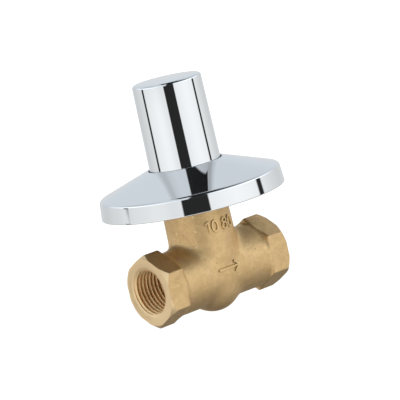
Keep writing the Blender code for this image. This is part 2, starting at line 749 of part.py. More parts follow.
def gland_nut(material):
    corner = (GLAND_BORE + GLAND_HEX_OVERHANG) / COS30
    groove = SPINDLE_BORE + 2 * GLAND_RING_SECTION + FIT
    half = GLAND_RING_SECTION + FIT / 2
    level = gland_ring_level()
    section = [
        (SPINDLE_BORE, GLAND_BOTTOM),
        (SPINDLE_COLLAR, GLAND_BOTTOM),
        (SPINDLE_COLLAR, GLAND_HEX_BOTTOM),
        (corner, GLAND_HEX_BOTTOM),
        (corner, GLAND_TOP - END_CHAMFER),
        (corner - END_CHAMFER, GLAND_TOP),
        (SPINDLE_BORE, GLAND_TOP),
        (SPINDLE_BORE, level + half),
        (groove, level + half),
        (groove, level - half),
        (SPINDLE_BORE, level - half),
    ]
    heights = [(radius, height - GLAND_BOTTOM) for radius, height in section]
    made = turned("gland_nut", heights, material, GLAND_BOTTOM)
    flats = flat_mill(
        "gland_flats", 6, 2 * corner * COS30, GLAND_HEX_BOTTOM - FIT / 2, GLAND_TOP + RUN, 2 * corner
    )
    combine(made, flats, "DIFFERENCE")
    return made


def gland_ring(material):
    centre = SPINDLE_RADIUS + FIT + GLAND_RING_SECTION
    section = ring_section(centre, GLAND_RING_SECTION)
    return turned("gland_ring", section, material, gland_ring_level())


def bonnet_gasket(material):
    section = bush_section(NECK_BORE + END_CHAMFER, neck_radius(NECK_TOP), GASKET_THICKNESS)
    return turned("bonnet_gasket", section, material, GASKET_BOTTOM, BODY_STEPS)


def cap(material):
    """A deep drawn cup with a slight taper, a rounded edge and a faint dome."""
    shoulder = CAP_HEIGHT - CAP_DOME - CAP_EDGE_RADIUS
    flat = cap_radius(shoulder) - CAP_EDGE_RADIUS
    face = [(cap_radius(0.0), 0.0)]
    face += arc((flat, shoulder), CAP_EDGE_RADIUS, 0, CAP_EDGE_TURN, 4)
    last_radius, last_height = face[-1]
    for share in (0.7, 0.35):
        rise = (CAP_HEIGHT - last_height) * (1 - share * share)
        face.append((last_radius * share, last_height + rise))
    face.append((0.0, CAP_HEIGHT))
    section = sheet_section(face[::-1], CAP_WALL)
    bottom = section[len(face)]
    section[len(face)] = (bottom[0], 0.0)
    section[-1] = (0.0, CAP_HEIGHT - CAP_WALL)
    return turned("cap", section, material, CAP_BOTTOM, LARGE_STEPS)


def bead_level():
    """Height of the flange's ring groove above the flange's rim."""
    return FLANGE_HEIGHT - BEAD_DROP


def grip_ring_radius():
    height = FLANGE_BOTTOM + bead_level() - CAP_BOTTOM
    return cap_radius(height) + FIT + GRIP_RING_SECTION


def flange(material):
    """A pressed bell: a mouth with a beaded groove round the cap, a shallow
    cone, a rounded shoulder and a rim that meets the wall."""
    mouth = cap_radius(FLANGE_BOTTOM + FLANGE_HEIGHT - CAP_BOTTOM) + FLANGE_CLEARANCE
    bead = grip_ring_radius() + GRIP_RING_SECTION + FIT
    half = GRIP_RING_SECTION + FIT
    level = bead_level()
    shoulder = FLANGE_RADIUS - RIM_TAPER
    run = shoulder - RIM_EDGE_RADIUS - mouth - MOUTH_RADIUS
    drop = FLANGE_HEIGHT - RIM_HEIGHT - RIM_EDGE_RADIUS
    lean = 90 - math.degrees(math.atan2(drop, run))
    face = [
        (mouth, level - half - BEAD_LIP),
        (mouth, level - half),
        (bead, level - half + FIT),
        (bead, level + half - FIT),
        (mouth, level + half),
    ]
    face += arc(
        (mouth + MOUTH_RADIUS, FLANGE_HEIGHT - MOUTH_RADIUS), MOUTH_RADIUS, 180, lean, 3
    )
    face += arc((shoulder - RIM_EDGE_RADIUS, RIM_HEIGHT), RIM_EDGE_RADIUS, lean, 0, 4)
    face.append((FLANGE_RADIUS, 0.0))
    section = sheet_section(face, FLANGE_SHEET)
    back = section[len(face)]
    section[len(face)] = (back[0], 0.0)
    return turned("flange", section, material, FLANGE_BOTTOM, LARGE_STEPS)


def flange_ring(material):
    section = ring_section(grip_ring_radius(), GRIP_RING_SECTION)
    level = FLANGE_BOTTOM + bead_level()
    return turned("flange_ring", section, material, level)


def build():
    clear_scene()
    finishes = all_finishes()
    brass = finishes["turned_brass"]
    rubber = finishes["rubber"]

    body = valve_body(finishes["cast_brass"])
    headwork = bonnet(brass)
    nut = gland_nut(brass)
    carry(nut, gland_ring(rubber))
    carry(headwork, *cap_rings(rubber), *gland_pieces(finishes), nut)
    carry(body, bonnet_gasket(finishes["fibre"]), headwork)

    carrier = disc_carrier(brass)
    carry(
        carrier,
        carrier_ring(rubber),
        seat_washer(rubber),
        washer_plate(brass),
        washer_screw(brass),
    )
    stem = spindle(brass)
    carry(body, carrier, stem)

    bell = flange(finishes["chrome"])
    carry(bell, flange_ring(rubber))
    cover = cap(finishes["chrome"])
    carry(cover, bell)
    carry(body, cover)


build()
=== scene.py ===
"""Looks of the concealed stop valve.

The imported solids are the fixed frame. The casting is grown as one soft skin,
then faced, bored and threaded as in the workshop; cap and flange are turned
again with a fine skin; every metal, rubber and plastic gets its own finish.
"""

import json
import math

import bmesh
import bpy
from mathutils import Matrix, Vector


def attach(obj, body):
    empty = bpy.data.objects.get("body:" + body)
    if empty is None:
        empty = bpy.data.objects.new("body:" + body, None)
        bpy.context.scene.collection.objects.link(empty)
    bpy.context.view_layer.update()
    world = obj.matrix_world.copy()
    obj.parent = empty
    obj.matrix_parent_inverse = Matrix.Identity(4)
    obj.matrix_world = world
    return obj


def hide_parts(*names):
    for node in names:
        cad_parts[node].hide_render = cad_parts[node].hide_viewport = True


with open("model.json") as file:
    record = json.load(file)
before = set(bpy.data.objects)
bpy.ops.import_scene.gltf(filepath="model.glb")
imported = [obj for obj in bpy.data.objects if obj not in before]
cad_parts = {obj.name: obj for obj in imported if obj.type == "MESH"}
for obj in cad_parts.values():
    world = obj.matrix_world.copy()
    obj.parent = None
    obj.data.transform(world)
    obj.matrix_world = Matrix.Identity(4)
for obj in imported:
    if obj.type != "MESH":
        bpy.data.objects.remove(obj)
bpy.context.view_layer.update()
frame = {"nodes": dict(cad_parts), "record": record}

MM = 0.001
COS30 = math.cos(math.radians(30))
TURN = 2 * math.pi

# Sizes of the casting, as in the solids but for a chamfer over the hexagons'
# corners 0.35 mm deeper, as the photograph shows, and a tube radius 0.03 mm less
HALF_LENGTH = 32.3 * MM
HEXAGON = 27.2 * MM
HEXAGON_WIDTH = 9.3 * MM
FACE_CHAMFER = 1.8 * MM
TUBE_RADIUS = 13.42 * MM
NECK_RADIUS = 13.6 * MM
NECK_DRAFT = 0.02
NECK_TOP = 30.7 * MM
NECK_BORE = 11.5 * MM
NECK_LEAD_IN = 0.6 * MM
NECK_THREAD_DEPTH = 12.1 * MM
BOWL_RADIUS = 12.2 * MM
BOWL_DEPTH = 4.8 * MM
BOWL_SHOULDER = 6.0 * MM
CHAMBER_BORE = 10.4 * MM
CHAMBER_TAPER = 1.3 * MM
PASSAGE_RADIUS = 8.4 * MM
PASSAGE_STEP = 0.9 * MM
SOCKET_DEPTH = 15.0 * MM
SEAT_RADIUS = 7.0 * MM
SEAT_BORE = 6.0 * MM
SEAT_HEIGHT = 1.0 * MM
SEAT_FOOT = 0.5 * MM
SEAT_ROOT = 1.2 * MM
WEB_TOP = 2.0 * MM
WEB_THICKNESS = 2.5 * MM
WEB_NEAR = 9.3 * MM
WEB_LEAN = 2.0 * MM
WEB_REACH = 9.1 * MM
WEB_ROUNDING = 1.2 * MM

# How the casting is moulded and machined
STOCK = 0.5 * MM
MOULD_SIDE = 16 * MM
MOULD_BOTTOM = 18 * MM
TUBE_RUN_OUT = 0.7
DRAFT_BLEND = 0.3 * MM
SIDE_FILLET = 0.2
BOWL_TO_ROOT = (-4 * MM, 2 * MM)
SAND_SCALE = 330.0
PAST_FACE = 1.0 * MM
TOOL_REACH = 18 * MM
TOOL_HEIGHT = 3 * MM
HAIR = 0.02 * MM

# Parallel half-inch pipe thread. Its lead-in is 22 mm wide at the face, where
# the solids have 22.6 mm, and shallower than theirs
THREAD_MINOR = 9.3 * MM
THREAD_MAJOR = 10.46 * MM
THREAD_PITCH = 1.814 * MM
THREAD_REACH = 14.6 * MM
LEAD_IN_RADIUS = 11.0 * MM
LEAD_IN_DEPTH = 0.6 * MM
LEAD_IN_SLOPE = (LEAD_IN_RADIUS - THREAD_MINOR) / LEAD_IN_DEPTH
THREAD_SUNK = 0.25 * MM
THREAD_STEPS = 72.0

# Cap and flange, as in the solids but for a rounder cap edge, a rim that leans
# in more and a rounded hem
CAP_BOTTOM = 34.5 * MM
CAP_HEIGHT = 47.2 * MM
CAP_RADIUS = 14.95 * MM
CAP_TAPER = 0.013
CAP_WALL = 1.0 * MM
CAP_EDGE = 1.3 * MM
CAP_DOME = 0.5 * MM
FLANGE_BOTTOM = 30.1 * MM
FLANGE_HEIGHT = 15.6 * MM
FLANGE_RADIUS = 38.35 * MM
FLANGE_SHEET = 0.9 * MM
FLANGE_GAP = 0.45 * MM
RIM_HEIGHT = 6.5 * MM
RIM_TAPER = 0.6 * MM
RIM_EDGE = 1.5 * MM
HEM_EDGE = 0.35 * MM
MOUTH_EDGE = 0.5 * MM
BEAD_DROP = 4.4 * MM
BEAD_HALF = 1.15 * MM
BEAD_SLOPE = 0.3 * MM
BEAD_LIP = 1.4 * MM
RING_GAP = 0.6 * MM
RING_THICKNESS = 1.7 * MM

# Flat steps that a round is made of
SMALL_STEPS = 64
BORE_STEPS = 96
CAP_STEPS = 192
FLANGE_STEPS = 256


# Meshes

def mesh_object(name, bm):
    bmesh.ops.recalc_face_normals(bm, faces=bm.faces)
    mesh = bpy.data.meshes.new(name)
    bm.to_mesh(mesh)
    bm.free()
    made = bpy.data.objects.new(name, mesh)
    bpy.context.scene.collection.objects.link(made)
    return made


def turned(name, section, steps, level=0.0, along_pipe=False):
    """A section of (radius, height) points spun once round the spindle axis, or
    round the pipe axis. One that starts and ends on the axis isn't closed."""
    bm = bmesh.new()
    points = [bm.verts.new((radius, 0.0, height + level)) for radius, height in section]
    ends_on_axis = section[0][0] == 0.0 and section[-1][0] == 0.0
    ends = points[1:] if ends_on_axis else points[1:] + points[:1]
    edges = [bm.edges.new(pair) for pair in zip(points, ends)]
    bmesh.ops.spin(
        bm, geom=points + edges, cent=(0, 0, 0), axis=(0, 0, 1), angle=TURN, steps=steps, use_merge=True
    )
    bmesh.ops.remove_doubles(bm, verts=bm.verts, dist=1e-7)
    if along_pipe:
        bmesh.ops.transform(bm, matrix=Matrix.Rotation(math.radians(90), 4, "Y"), verts=bm.verts)
    return mesh_object(name, bm)


def arc(centre, radius, start, end, steps):
    made = []
    for step in range(steps + 1):
        angle = math.radians(start + (end - start) * step / steps)
        made.append((centre[0] + radius * math.cos(angle), centre[1] + radius * math.sin(angle)))
    return made


def sheet_section(face, thickness):
    """A sheet's closed section; the sheet lies right of the way the points run."""
    back = []
    for index, point in enumerate(face):
        before = face[max(index - 1, 0)]
        after = face[min(index + 1, len(face) - 1)]
        ways = []
        for first, second in ((before, point), (point, after)):
            run, rise = second[0] - first[0], second[1] - first[1]
            length = math.hypot(run, rise)
            if length > 0.0:
                ways.append((rise / length, -run / length))
        across = sum(way[0] for way in ways) / len(ways)
        up = sum(way[1] for way in ways) / len(ways)
        mitre = thickness / (across * across + up * up)
        back.append((point[0] + across * mitre, point[1] + up * mitre))
    return face + back[::-1]


def apply_modifiers(piece):
    """Turns what the modifiers show into the piece's own plain mesh."""
    shown = piece.evaluated_get(bpy.context.evaluated_depsgraph_get())
    mesh = bpy.data.meshes.new_from_object(shown)
    piece.modifiers.clear()
    old = piece.data
    piece.data = mesh
    bpy.data.meshes.remove(old)


def machine(piece, tool, operation="DIFFERENCE"):
    """Cuts with a tool or joins it on, and clears the tool away."""
    modifier = piece.modifiers.new(tool.name, "BOOLEAN")
    modifier.operation = operation
    modifier.solver = "EXACT"
    modifier.object = tool
    apply_modifiers(piece)
    bpy.data.objects.remove(tool)


def smooth(piece, angle):
    piece.data.shade_smooth()
    piece.data.set_sharp_from_angle(angle=math.radians(angle))


# Geometry Nodes

class Amount:
    """A number that varies from place to place in a node tree."""

    def __init__(self, tree, socket):
        self.tree = tree
        self.socket = socket

    def math(self, operation, *others):
        node = self.tree.nodes.new("ShaderNodeMath")
        node.operation = operation
        for entry, value in zip(node.inputs, (self, *others)):
            if isinstance(value, Amount):
                self.tree.links.new(value.socket, entry)
            else:
                entry.default_value = value
        return Amount(self.tree, node.outputs[0])

    def __add__(self, other):
        return self.math("ADD", other)

    def __sub__(self, other):
        return self.math("SUBTRACT", other)

    def __mul__(self, other):
        return self.math("MULTIPLY", other)

    def __truediv__(self, other):
        return self.math("DIVIDE", other)

    def size(self):
        return self.math("ABSOLUTE")

    def root(self):
        return self.math("SQRT")

    def least(self, other, blend=0.0):
        return self.math("SMOOTH_MIN", other, blend)

    def most(self, other, blend=0.0):
        return self.math("SMOOTH_MAX", other, blend)

    def spread(self, low, high, to_low=0.0, to_high=1.0):
        """Runs smoothly from one value to the other between low and high."""
        node = self.tree.nodes.new("ShaderNodeMapRange")
        node.interpolation_type = "SMOOTHSTEP"
        for name, value in (
            ("Value", self), ("From Min", low), ("From Max", high), ("To Min", to_low), ("To Max", to_high)
        ):
            if isinstance(value, Amount):
                self.tree.links.new(value.socket, node.inputs[name])
            else:
                node.inputs[name].default_value = value
        return Amount(self.tree, node.outputs["Result"])


def new_tree(name, sizes, objects=()):
    """A geometry tree with one named input for each size and each object."""
    tree = bpy.data.node_groups.new(name, "GeometryNodeTree")
    tree.interface.new_socket("Geometry", in_out="OUTPUT", socket_type="NodeSocketGeometry")
    tree.interface.new_socket("Geometry", in_out="INPUT", socket_type="NodeSocketGeometry")
    for label in sizes:
        tree.interface.new_socket(label, in_out="INPUT", socket_type="NodeSocketFloat")
    for label in objects:
        tree.interface.new_socket(label, in_out="INPUT", socket_type="NodeSocketObject")
    entry = tree.nodes.new("NodeGroupInput")
    return tree, {label: Amount(tree, entry.outputs[label]) for label in (*sizes, *objects)}


def close_tree(tree, geometry, finish):
    """Ends a tree: instances made real, then the finish laid on."""
    real = tree.nodes.new("GeometryNodeRealizeInstances")
    tree.links.new(geometry, real.inputs["Geometry"])
    dressed = tree.nodes.new("GeometryNodeSetMaterial")
    dressed.inputs["Material"].default_value = finish
    tree.links.new(real.outputs["Geometry"], dressed.inputs["Geometry"])
    leave = tree.nodes.new("NodeGroupOutput")
    tree.links.new(dressed.outputs["Geometry"], leave.inputs["Geometry"])
    return tree


def grow(name, tree, values):
    """Runs a geometry tree on an empty mesh and keeps what it makes."""
    piece = bpy.data.objects.new(name, bpy.data.meshes.new(name))
    bpy.context.scene.collection.objects.link(piece)
    modifier = piece.modifiers.new(tree.name, "NODES")
    modifier.node_group = tree
    for socket in tree.interface.items_tree:
        if socket.in_out == "INPUT" and socket.name in values:
            modifier[socket.identifier] = values[socket.name]
    apply_modifiers(piece)
    return piece


CAST_SIZES = {
    "Half Length": HALF_LENGTH,
    "Across Flats": HEXAGON,
    "Hexagon Width": HEXAGON_WIDTH,
    "Tube Radius": TUBE_RADIUS,
    "Neck Radius": NECK_RADIUS,
    "Neck Top": NECK_TOP,
    "Bowl Radius": BOWL_RADIUS,
    "Bowl Depth": BOWL_DEPTH,
    "Bowl Shoulder": BOWL_SHOULDER,
    "Outer Softness": 0.45 * MM,
    "Shoulder Softness": 1.3 * MM,
    "Inner Softness": 1.9 * MM,
    "Root Fillet": 6.5 * MM,
    "Bowl Fillet": 2.5 * MM,
    "Sand Depth": 0.06 * MM,
    "Voxel": 0.4 * MM,
}


def cast_skin_tree():
    """The casting as the pattern maker sees it: hexagons, tube, neck and bowl
    flowing into each other with soft corners."""
    tree, size = new_tree("cast_skin", CAST_SIZES)
    nodes, links = tree.nodes, tree.links
    place = nodes.new("GeometryNodeInputPosition")
    split = nodes.new("ShaderNodeSeparateXYZ")
    links.new(place.outputs[0], split.inputs[0])
    x, y, z = (Amount(tree, split.outputs[axis]) for axis in "XYZ")

    along = x.size()
    beyond_end = along - size["Half Length"] - STOCK
    soft = size["Outer Softness"]
    rounded_y = (y * y + soft * soft * 0.25).root()
    slanted = rounded_y * 0.5 + z.size() * COS30
    flats = rounded_y.most(slanted, soft) - size["Across Flats"] * 0.5
    behind = size["Half Length"] - size["Hexagon Width"] - along
    hexagon = flats.most(behind, size["Shoulder Softness"])
    run_out = (behind * -1.0).most(0.0) * TUBE_RUN_OUT
    tube = (y * y + z * z).root() - size["Tube Radius"] + run_out
    pipe = hexagon.least(tube, size["Inner Softness"]).most(beyond_end)

    across = x * x + y * y
    drafted = size["Neck Radius"] + (size["Neck Top"] - z) * NECK_DRAFT
    root_radius = size["Neck Radius"] + (size["Neck Top"] - size["Bowl Shoulder"]) * NECK_DRAFT
    share = (z + size["Bowl Depth"]) / (size["Bowl Shoulder"] + size["Bowl Depth"])
    narrowed = size["Bowl Radius"] + (root_radius - size["Bowl Radius"]) * share
    upright = across.root() - drafted.least(narrowed, DRAFT_BLEND)
    over_top = z - size["Neck Top"] - STOCK
    sunk = z + size["Bowl Depth"]
    neck = upright.most(over_top).most(sunk * -1.0)
    bowl = (across + sunk * sunk).root() - size["Bowl Radius"]
    thimble = neck.least(bowl)

    facing_pipe = x * x / (across + 1e-9)
    root_blend = size["Root Fillet"] * (facing_pipe * (1.0 - SIDE_FILLET) + SIDE_FILLET)
    raised = z.spread(*BOWL_TO_ROOT)
    blend = size["Bowl Fillet"] + (root_blend - size["Bowl Fillet"]) * raised
    skin = pipe.least(thimble, blend)

    sand = nodes.new("ShaderNodeTexNoise")
    sand.inputs["Scale"].default_value = SAND_SCALE
    sand.inputs["Detail"].default_value = 3.0
    lump = Amount(tree, sand.outputs["Fac"]) - 0.5
    skin = skin + lump * size["Sand Depth"]

    low = Vector((-HALF_LENGTH - PAST_FACE, -MOULD_SIDE, -MOULD_BOTTOM))
    high = Vector((HALF_LENGTH + PAST_FACE, MOULD_SIDE, NECK_TOP + PAST_FACE))
    cube = nodes.new("GeometryNodeVolumeCube")
    cube.inputs["Min"].default_value = low
    cube.inputs["Max"].default_value = high
    for axis, name in enumerate("XYZ"):
        count = size["Voxel"].math("POWER", -1.0) * (high[axis] - low[axis])
        links.new(count.math("ROUND").socket, cube.inputs[f"Resolution {name}"])
    fullness = skin * (-1 / MM) + 1.0
    links.new(fullness.socket, cube.inputs["Density"])
    cube.inputs["Background"].default_value = -1.0
    skinned = nodes.new("GeometryNodeVolumeToMesh")
    links.new(cube.outputs["Volume"], skinned.inputs["Volume"])
    skinned.inputs["Threshold"].default_value = 1.0
    return close_tree(tree, skinned.outputs["Mesh"], FINISH["cast_brass"])


THREAD_SIZES = {
    "Minor Radius": THREAD_MINOR,
    "Major Radius": THREAD_MAJOR,
    "Pitch": THREAD_PITCH,
    "Length": THREAD_REACH + 2 * MM,
}


def thread_tree():
    """A vee drawn along a helix: what the tap cuts out between two crests. The
    vee is a circle of three points, 1.5 high and the root of three wide."""
    tree, size = new_tree("pipe_thread", THREAD_SIZES)
    nodes, links = tree.nodes, tree.links
    depth = size["Major Radius"] - size["Minor Radius"] + THREAD_SUNK
    turns = size["Length"] / size["Pitch"]
    helix = nodes.new("GeometryNodeCurveSpiral")
    links.new((turns * THREAD_STEPS).socket, helix.inputs["Resolution"])
    links.new(turns.socket, helix.inputs["Rotations"])
    middle = size["Minor Radius"] - THREAD_SUNK + depth / 3.0
    links.new(middle.socket, helix.inputs["Start Radius"])
    links.new(middle.socket, helix.inputs["End Radius"])
    links.new(size["Length"].socket, helix.inputs["Height"])
    upright = nodes.new("GeometryNodeSetCurveNormal")
    upright.mode = "Z_UP"
    links.new(helix.outputs[0], upright.inputs["Curve"])
    vee = nodes.new("GeometryNodeCurvePrimitiveCircle")
    vee.inputs["Resolution"].default_value = 3
    vee.inputs["Radius"].default_value = 1.0
    shape = nodes.new("ShaderNodeCombineXYZ")
    links.new((depth / 1.5).socket, shape.inputs["X"])
    links.new((size["Pitch"] * 0.56).socket, shape.inputs["Y"])
    shape.inputs["Z"].default_value = 1.0
    fitted = nodes.new("GeometryNodeTransform")
    fitted.inputs["Rotation"].default_value = (0.0, 0.0, math.pi)
    links.new(vee.outputs[0], fitted.inputs["Geometry"])
    links.new(shape.outputs[0], fitted.inputs["Scale"])
    sweep = nodes.new("GeometryNodeCurveToMesh")
    links.new(upright.outputs[0], sweep.inputs["Curve"])
    links.new(fitted.outputs[0], sweep.inputs["Profile Curve"])
    sweep.inputs["Fill Caps"].default_value = True
    return close_tree(tree, sweep.outputs["Mesh"], FINISH["machined_brass"])


# The casting

# Strokes of the marks in millimetres: across and up from a corner of their own
ZERO = arc((1.35, 2.35), 1.0, 0, 360, 20)
DIGITS = {
    "0": [[(1.35 + 1.2 * (x - 1.35), 2.35 + 2.2 * (z - 2.35)) for x, z in ZERO]],
    "1": [[(0.3, 3.6), (1.5, 4.6), (1.5, 0.1)]],
    "8": [arc((1.35, 3.55), 1.0, -90, 270, 16), arc((1.35, 1.35), 1.25, 90, 450, 18)],
}
NUMBERS = (("1", -6.6), ("0", -3.9), ("8", 0.9), ("0", 4.2))
NUMBER_LEVEL = 17.4
ARROW = ([(-5.6, 0.0), (5.2, 0.0)], [(2.6, 2.1), (5.4, 0.0), (2.6, -2.1)])
ARROW_LEFT = 0.2
ARROW_LEVEL = 1.4
RAY_START = 40 * MM
RAY_LENGTH = 50 * MM


def mark_strokes():
    """Centre lines of the raised marks, seen from the front: two plain numbers
    on the neck and the flow arrow on the tube."""
    strokes = [(stroke, ARROW_LEFT, ARROW_LEVEL) for stroke in ARROW]
    for digit, left in NUMBERS:
        strokes += [(stroke, left, NUMBER_LEVEL) for stroke in DIGITS[digit]]
    bm = bmesh.new()
    for stroke, left, low in strokes:
        points = [bm.verts.new(((across + left) * MM, 0.0, (up + low) * MM)) for across, up in stroke]
        for pair in zip(points, points[1:]):
            bm.edges.new(pair)
    bmesh.ops.remove_doubles(bm, verts=bm.verts, dist=1e-6)
    return mesh_object("mark_strokes", bm)


MARK_SIZES = {
    "Foot Width": 1.25 * MM,
    "Top Width": 0.75 * MM,
    "Raised": 0.5 * MM,
    "Sunk": 0.4 * MM,
    "Step": 0.3 * MM,
}


def raised_marks_tree():
    """Lays a drafted bar along every stroke, on the casting's own skin."""
    tree, size = new_tree("raised_marks", MARK_SIZES, ("Strokes", "Casting"))
    nodes, links = tree.nodes, tree.links
    parts = {}
    for label in ("Strokes", "Casting"):
        parts[label] = nodes.new("GeometryNodeObjectInfo")
        links.new(size[label].socket, parts[label].inputs["Object"])
    lines = nodes.new("GeometryNodeMeshToCurve")
    links.new(parts["Strokes"].outputs["Geometry"], lines.inputs["Mesh"])
    even = nodes.new("GeometryNodeResampleCurve")
    even.mode = "LENGTH"
    links.new(lines.outputs["Curve"], even.inputs["Curve"])
    links.new(size["Step"].socket, even.inputs["Length"])
    place = nodes.new("GeometryNodeInputPosition")
    before = nodes.new("ShaderNodeVectorMath")
    before.inputs[1].default_value = (0.0, -RAY_START, 0.0)
    links.new(place.outputs[0], before.inputs[0])
    cast = nodes.new("GeometryNodeRaycast")
    cast.inputs["Ray Direction"].default_value = (0.0, 1.0, 0.0)
    cast.inputs["Ray Length"].default_value = RAY_LENGTH
    links.new(parts["Casting"].outputs["Geometry"], cast.inputs["Target Geometry"])
    links.new(before.outputs[0], cast.inputs["Source Position"])
    keep = nodes.new("GeometryNodeCaptureAttribute")
    keep.domain = "POINT"
    keep.capture_items.new("VECTOR", "Outward")
    links.new(even.outputs["Curve"], keep.inputs["Geometry"])
    links.new(cast.outputs["Hit Normal"], keep.inputs["Outward"])
    laid = nodes.new("GeometryNodeSetPosition")
    links.new(keep.outputs["Geometry"], laid.inputs["Geometry"])
    links.new(cast.outputs["Hit Position"], laid.inputs["Position"])
    standing = nodes.new("GeometryNodeSetCurveNormal")
    standing.mode = "FREE"
    links.new(laid.outputs["Geometry"], standing.inputs["Curve"])
    links.new(keep.outputs["Outward"], standing.inputs["Normal"])
    section = nodes.new("GeometryNodeCurvePrimitiveQuadrilateral")
    section.mode = "TRAPEZOID"
    section.inputs["Offset"].default_value = 0.0
    links.new(size["Foot Width"].socket, section.inputs["Bottom Width"])
    links.new(size["Top Width"].socket, section.inputs["Top Width"])
    links.new((size["Raised"] + size["Sunk"]).socket, section.inputs["Height"])
    lifted = nodes.new("ShaderNodeCombineXYZ")
    links.new(((size["Raised"] - size["Sunk"]) * 0.5).socket, lifted.inputs["X"])
    upright = nodes.new("GeometryNodeTransform")
    upright.inputs["Rotation"].default_value = (0.0, 0.0, math.radians(-90))
    links.new(section.outputs[0], upright.inputs["Geometry"])
    links.new(lifted.outputs[0], upright.inputs["Translation"])
    bars = nodes.new("GeometryNodeCurveToMesh")
    links.new(standing.outputs["Curve"], bars.inputs["Curve"])
    links.new(upright.outputs["Geometry"], bars.inputs["Profile Curve"])
    bars.inputs["Fill Caps"].default_value = True
    return close_tree(tree, bars.outputs["Mesh"], FINISH["mark_brass"])


def raised_marks(casting):
    strokes = mark_strokes()
    made = grow("raised_marks", raised_marks_tree(), {**MARK_SIZES, "Strokes": strokes, "Casting": casting})
    bpy.data.objects.remove(strokes)
    smooth(made, 50)
    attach(made, "valve")
    return made


def prism(name, outline, half_width):
    bm = bmesh.new()
    face = bm.faces.new([bm.verts.new((across, -half_width, up)) for across, up in outline])
    drawn = bmesh.ops.extrude_face_region(bm, geom=[face])["geom"]
    moved = [item for item in drawn if isinstance(item, bmesh.types.BMVert)]
    bmesh.ops.translate(bm, vec=(0.0, 2 * half_width, 0.0), verts=moved)
    return mesh_object(name, bm)


def water_way():
    """Sockets, tunnel, bowl, chamber and neck bore as one solid, less the web
    and its raised seat."""
    face = HALF_LENGTH
    half = [
        (0.0, face + PAST_FACE),
        (LEAD_IN_RADIUS, face + PAST_FACE),
        (LEAD_IN_RADIUS, face),
        (THREAD_MINOR, face - LEAD_IN_DEPTH),
        (THREAD_MINOR, face - SOCKET_DEPTH),
        (PASSAGE_RADIUS, face - SOCKET_DEPTH - PASSAGE_STEP),
    ]
    section = half + [(radius, -along) for radius, along in reversed(half)]
    made = turned("water_way", section, BORE_STEPS, along_pipe=True)

    bowl = arc((0.0, -BOWL_DEPTH), CHAMBER_BORE, -90, 0, 14)
    bowl[0] = (0.0, bowl[0][1])
    thread_end = NECK_TOP - NECK_THREAD_DEPTH
    upright = bowl + [
        (CHAMBER_BORE, thread_end - CHAMBER_TAPER),
        (NECK_BORE, thread_end),
        (NECK_BORE, NECK_TOP - NECK_LEAD_IN),
        (NECK_BORE + NECK_LEAD_IN, NECK_TOP),
        (NECK_BORE + NECK_LEAD_IN, NECK_TOP + PAST_FACE),
        (0.0, NECK_TOP + PAST_FACE),
    ]
    machine(made, turned("upright_bore", upright, BORE_STEPS), "UNION")

    far = WEB_NEAR + WEB_THICKNESS
    under = WEB_TOP - WEB_THICKNESS
    outline = [
        (-WEB_NEAR - WEB_LEAN, WEB_REACH),
        (-WEB_NEAR, WEB_TOP),
        (far, WEB_TOP),
        (far + WEB_LEAN, -WEB_REACH),
        (WEB_NEAR + WEB_LEAN, -WEB_REACH),
        (WEB_NEAR, under),
        (-far, under),
        (-far - WEB_LEAN, WEB_REACH),
    ]
    web = prism("web", outline, NECK_RADIUS)
    rounding = web.modifiers.new("cast_corners", "BEVEL")
    rounding.width = WEB_ROUNDING
    rounding.segments = 5
    rounding.limit_method = "ANGLE"
    rounding.angle_limit = math.radians(20)
    apply_modifiers(web)
    machine(made, web)
    seat = [
        (0.0, WEB_TOP - SEAT_ROOT),
        (SEAT_RADIUS + SEAT_FOOT, WEB_TOP - SEAT_ROOT),
        (SEAT_RADIUS + SEAT_FOOT, WEB_TOP),
        (SEAT_RADIUS, WEB_TOP + SEAT_HEIGHT),
        (0.0, WEB_TOP + SEAT_HEIGHT),
    ]
    machine(made, turned("seat", seat, SMALL_STEPS))
    low, high = WEB_TOP - 2 * WEB_THICKNESS, WEB_TOP + 2 * SEAT_HEIGHT
    bore = [(0.0, low), (SEAT_BORE, low), (SEAT_BORE, high), (0.0, high)]
    machine(made, turned("seat_bore", bore, SMALL_STEPS), "UNION")
    return made


def facing_tool(side):
    """Faces one end flat and turns the chamfer over the hexagon's corners."""
    flat = HEXAGON / 2 / COS30 - FACE_CHAMFER
    section = [
        (0.0, HALF_LENGTH),
        (flat, HALF_LENGTH),
        (TOOL_REACH, HALF_LENGTH - (TOOL_REACH - flat)),
        (TOOL_REACH, HALF_LENGTH + TOOL_HEIGHT),
        (0.0, HALF_LENGTH + TOOL_HEIGHT),
    ]
    section = [(radius, side * along) for radius, along in section]
    return turned("facing_tool", section, BORE_STEPS, along_pipe=True)


def tap(side, tree):
    """The thread cutter in its place in one socket."""
    made = grow("tap", tree, THREAD_SIZES)
    lift = Matrix.Translation((0.0, 0.0, HALF_LENGTH - THREAD_REACH))
    lay_down = Matrix.Rotation(math.radians(90 * side), 4, "Y")
    made.data.transform(lay_down @ lift)
    return made


def finish_of_spot(x, y, z):
    """Which finish a face of the casting has: 0 cast, 1 machined, 2 threaded."""
    out = math.hypot(y, z)
    depth = HALF_LENGTH - abs(x)
    bored = out < LEAD_IN_RADIUS + HAIR and depth < SOCKET_DEPTH
    if bored and out < THREAD_MAJOR and out + depth * LEAD_IN_SLOPE > LEAD_IN_RADIUS + HAIR:
        return 2
    faced = depth < HAIR or z > NECK_TOP - HAIR
    chamfered = out - depth > HEXAGON / 2 / COS30 - FACE_CHAMFER - HAIR
    return int(faced or chamfered or bored)


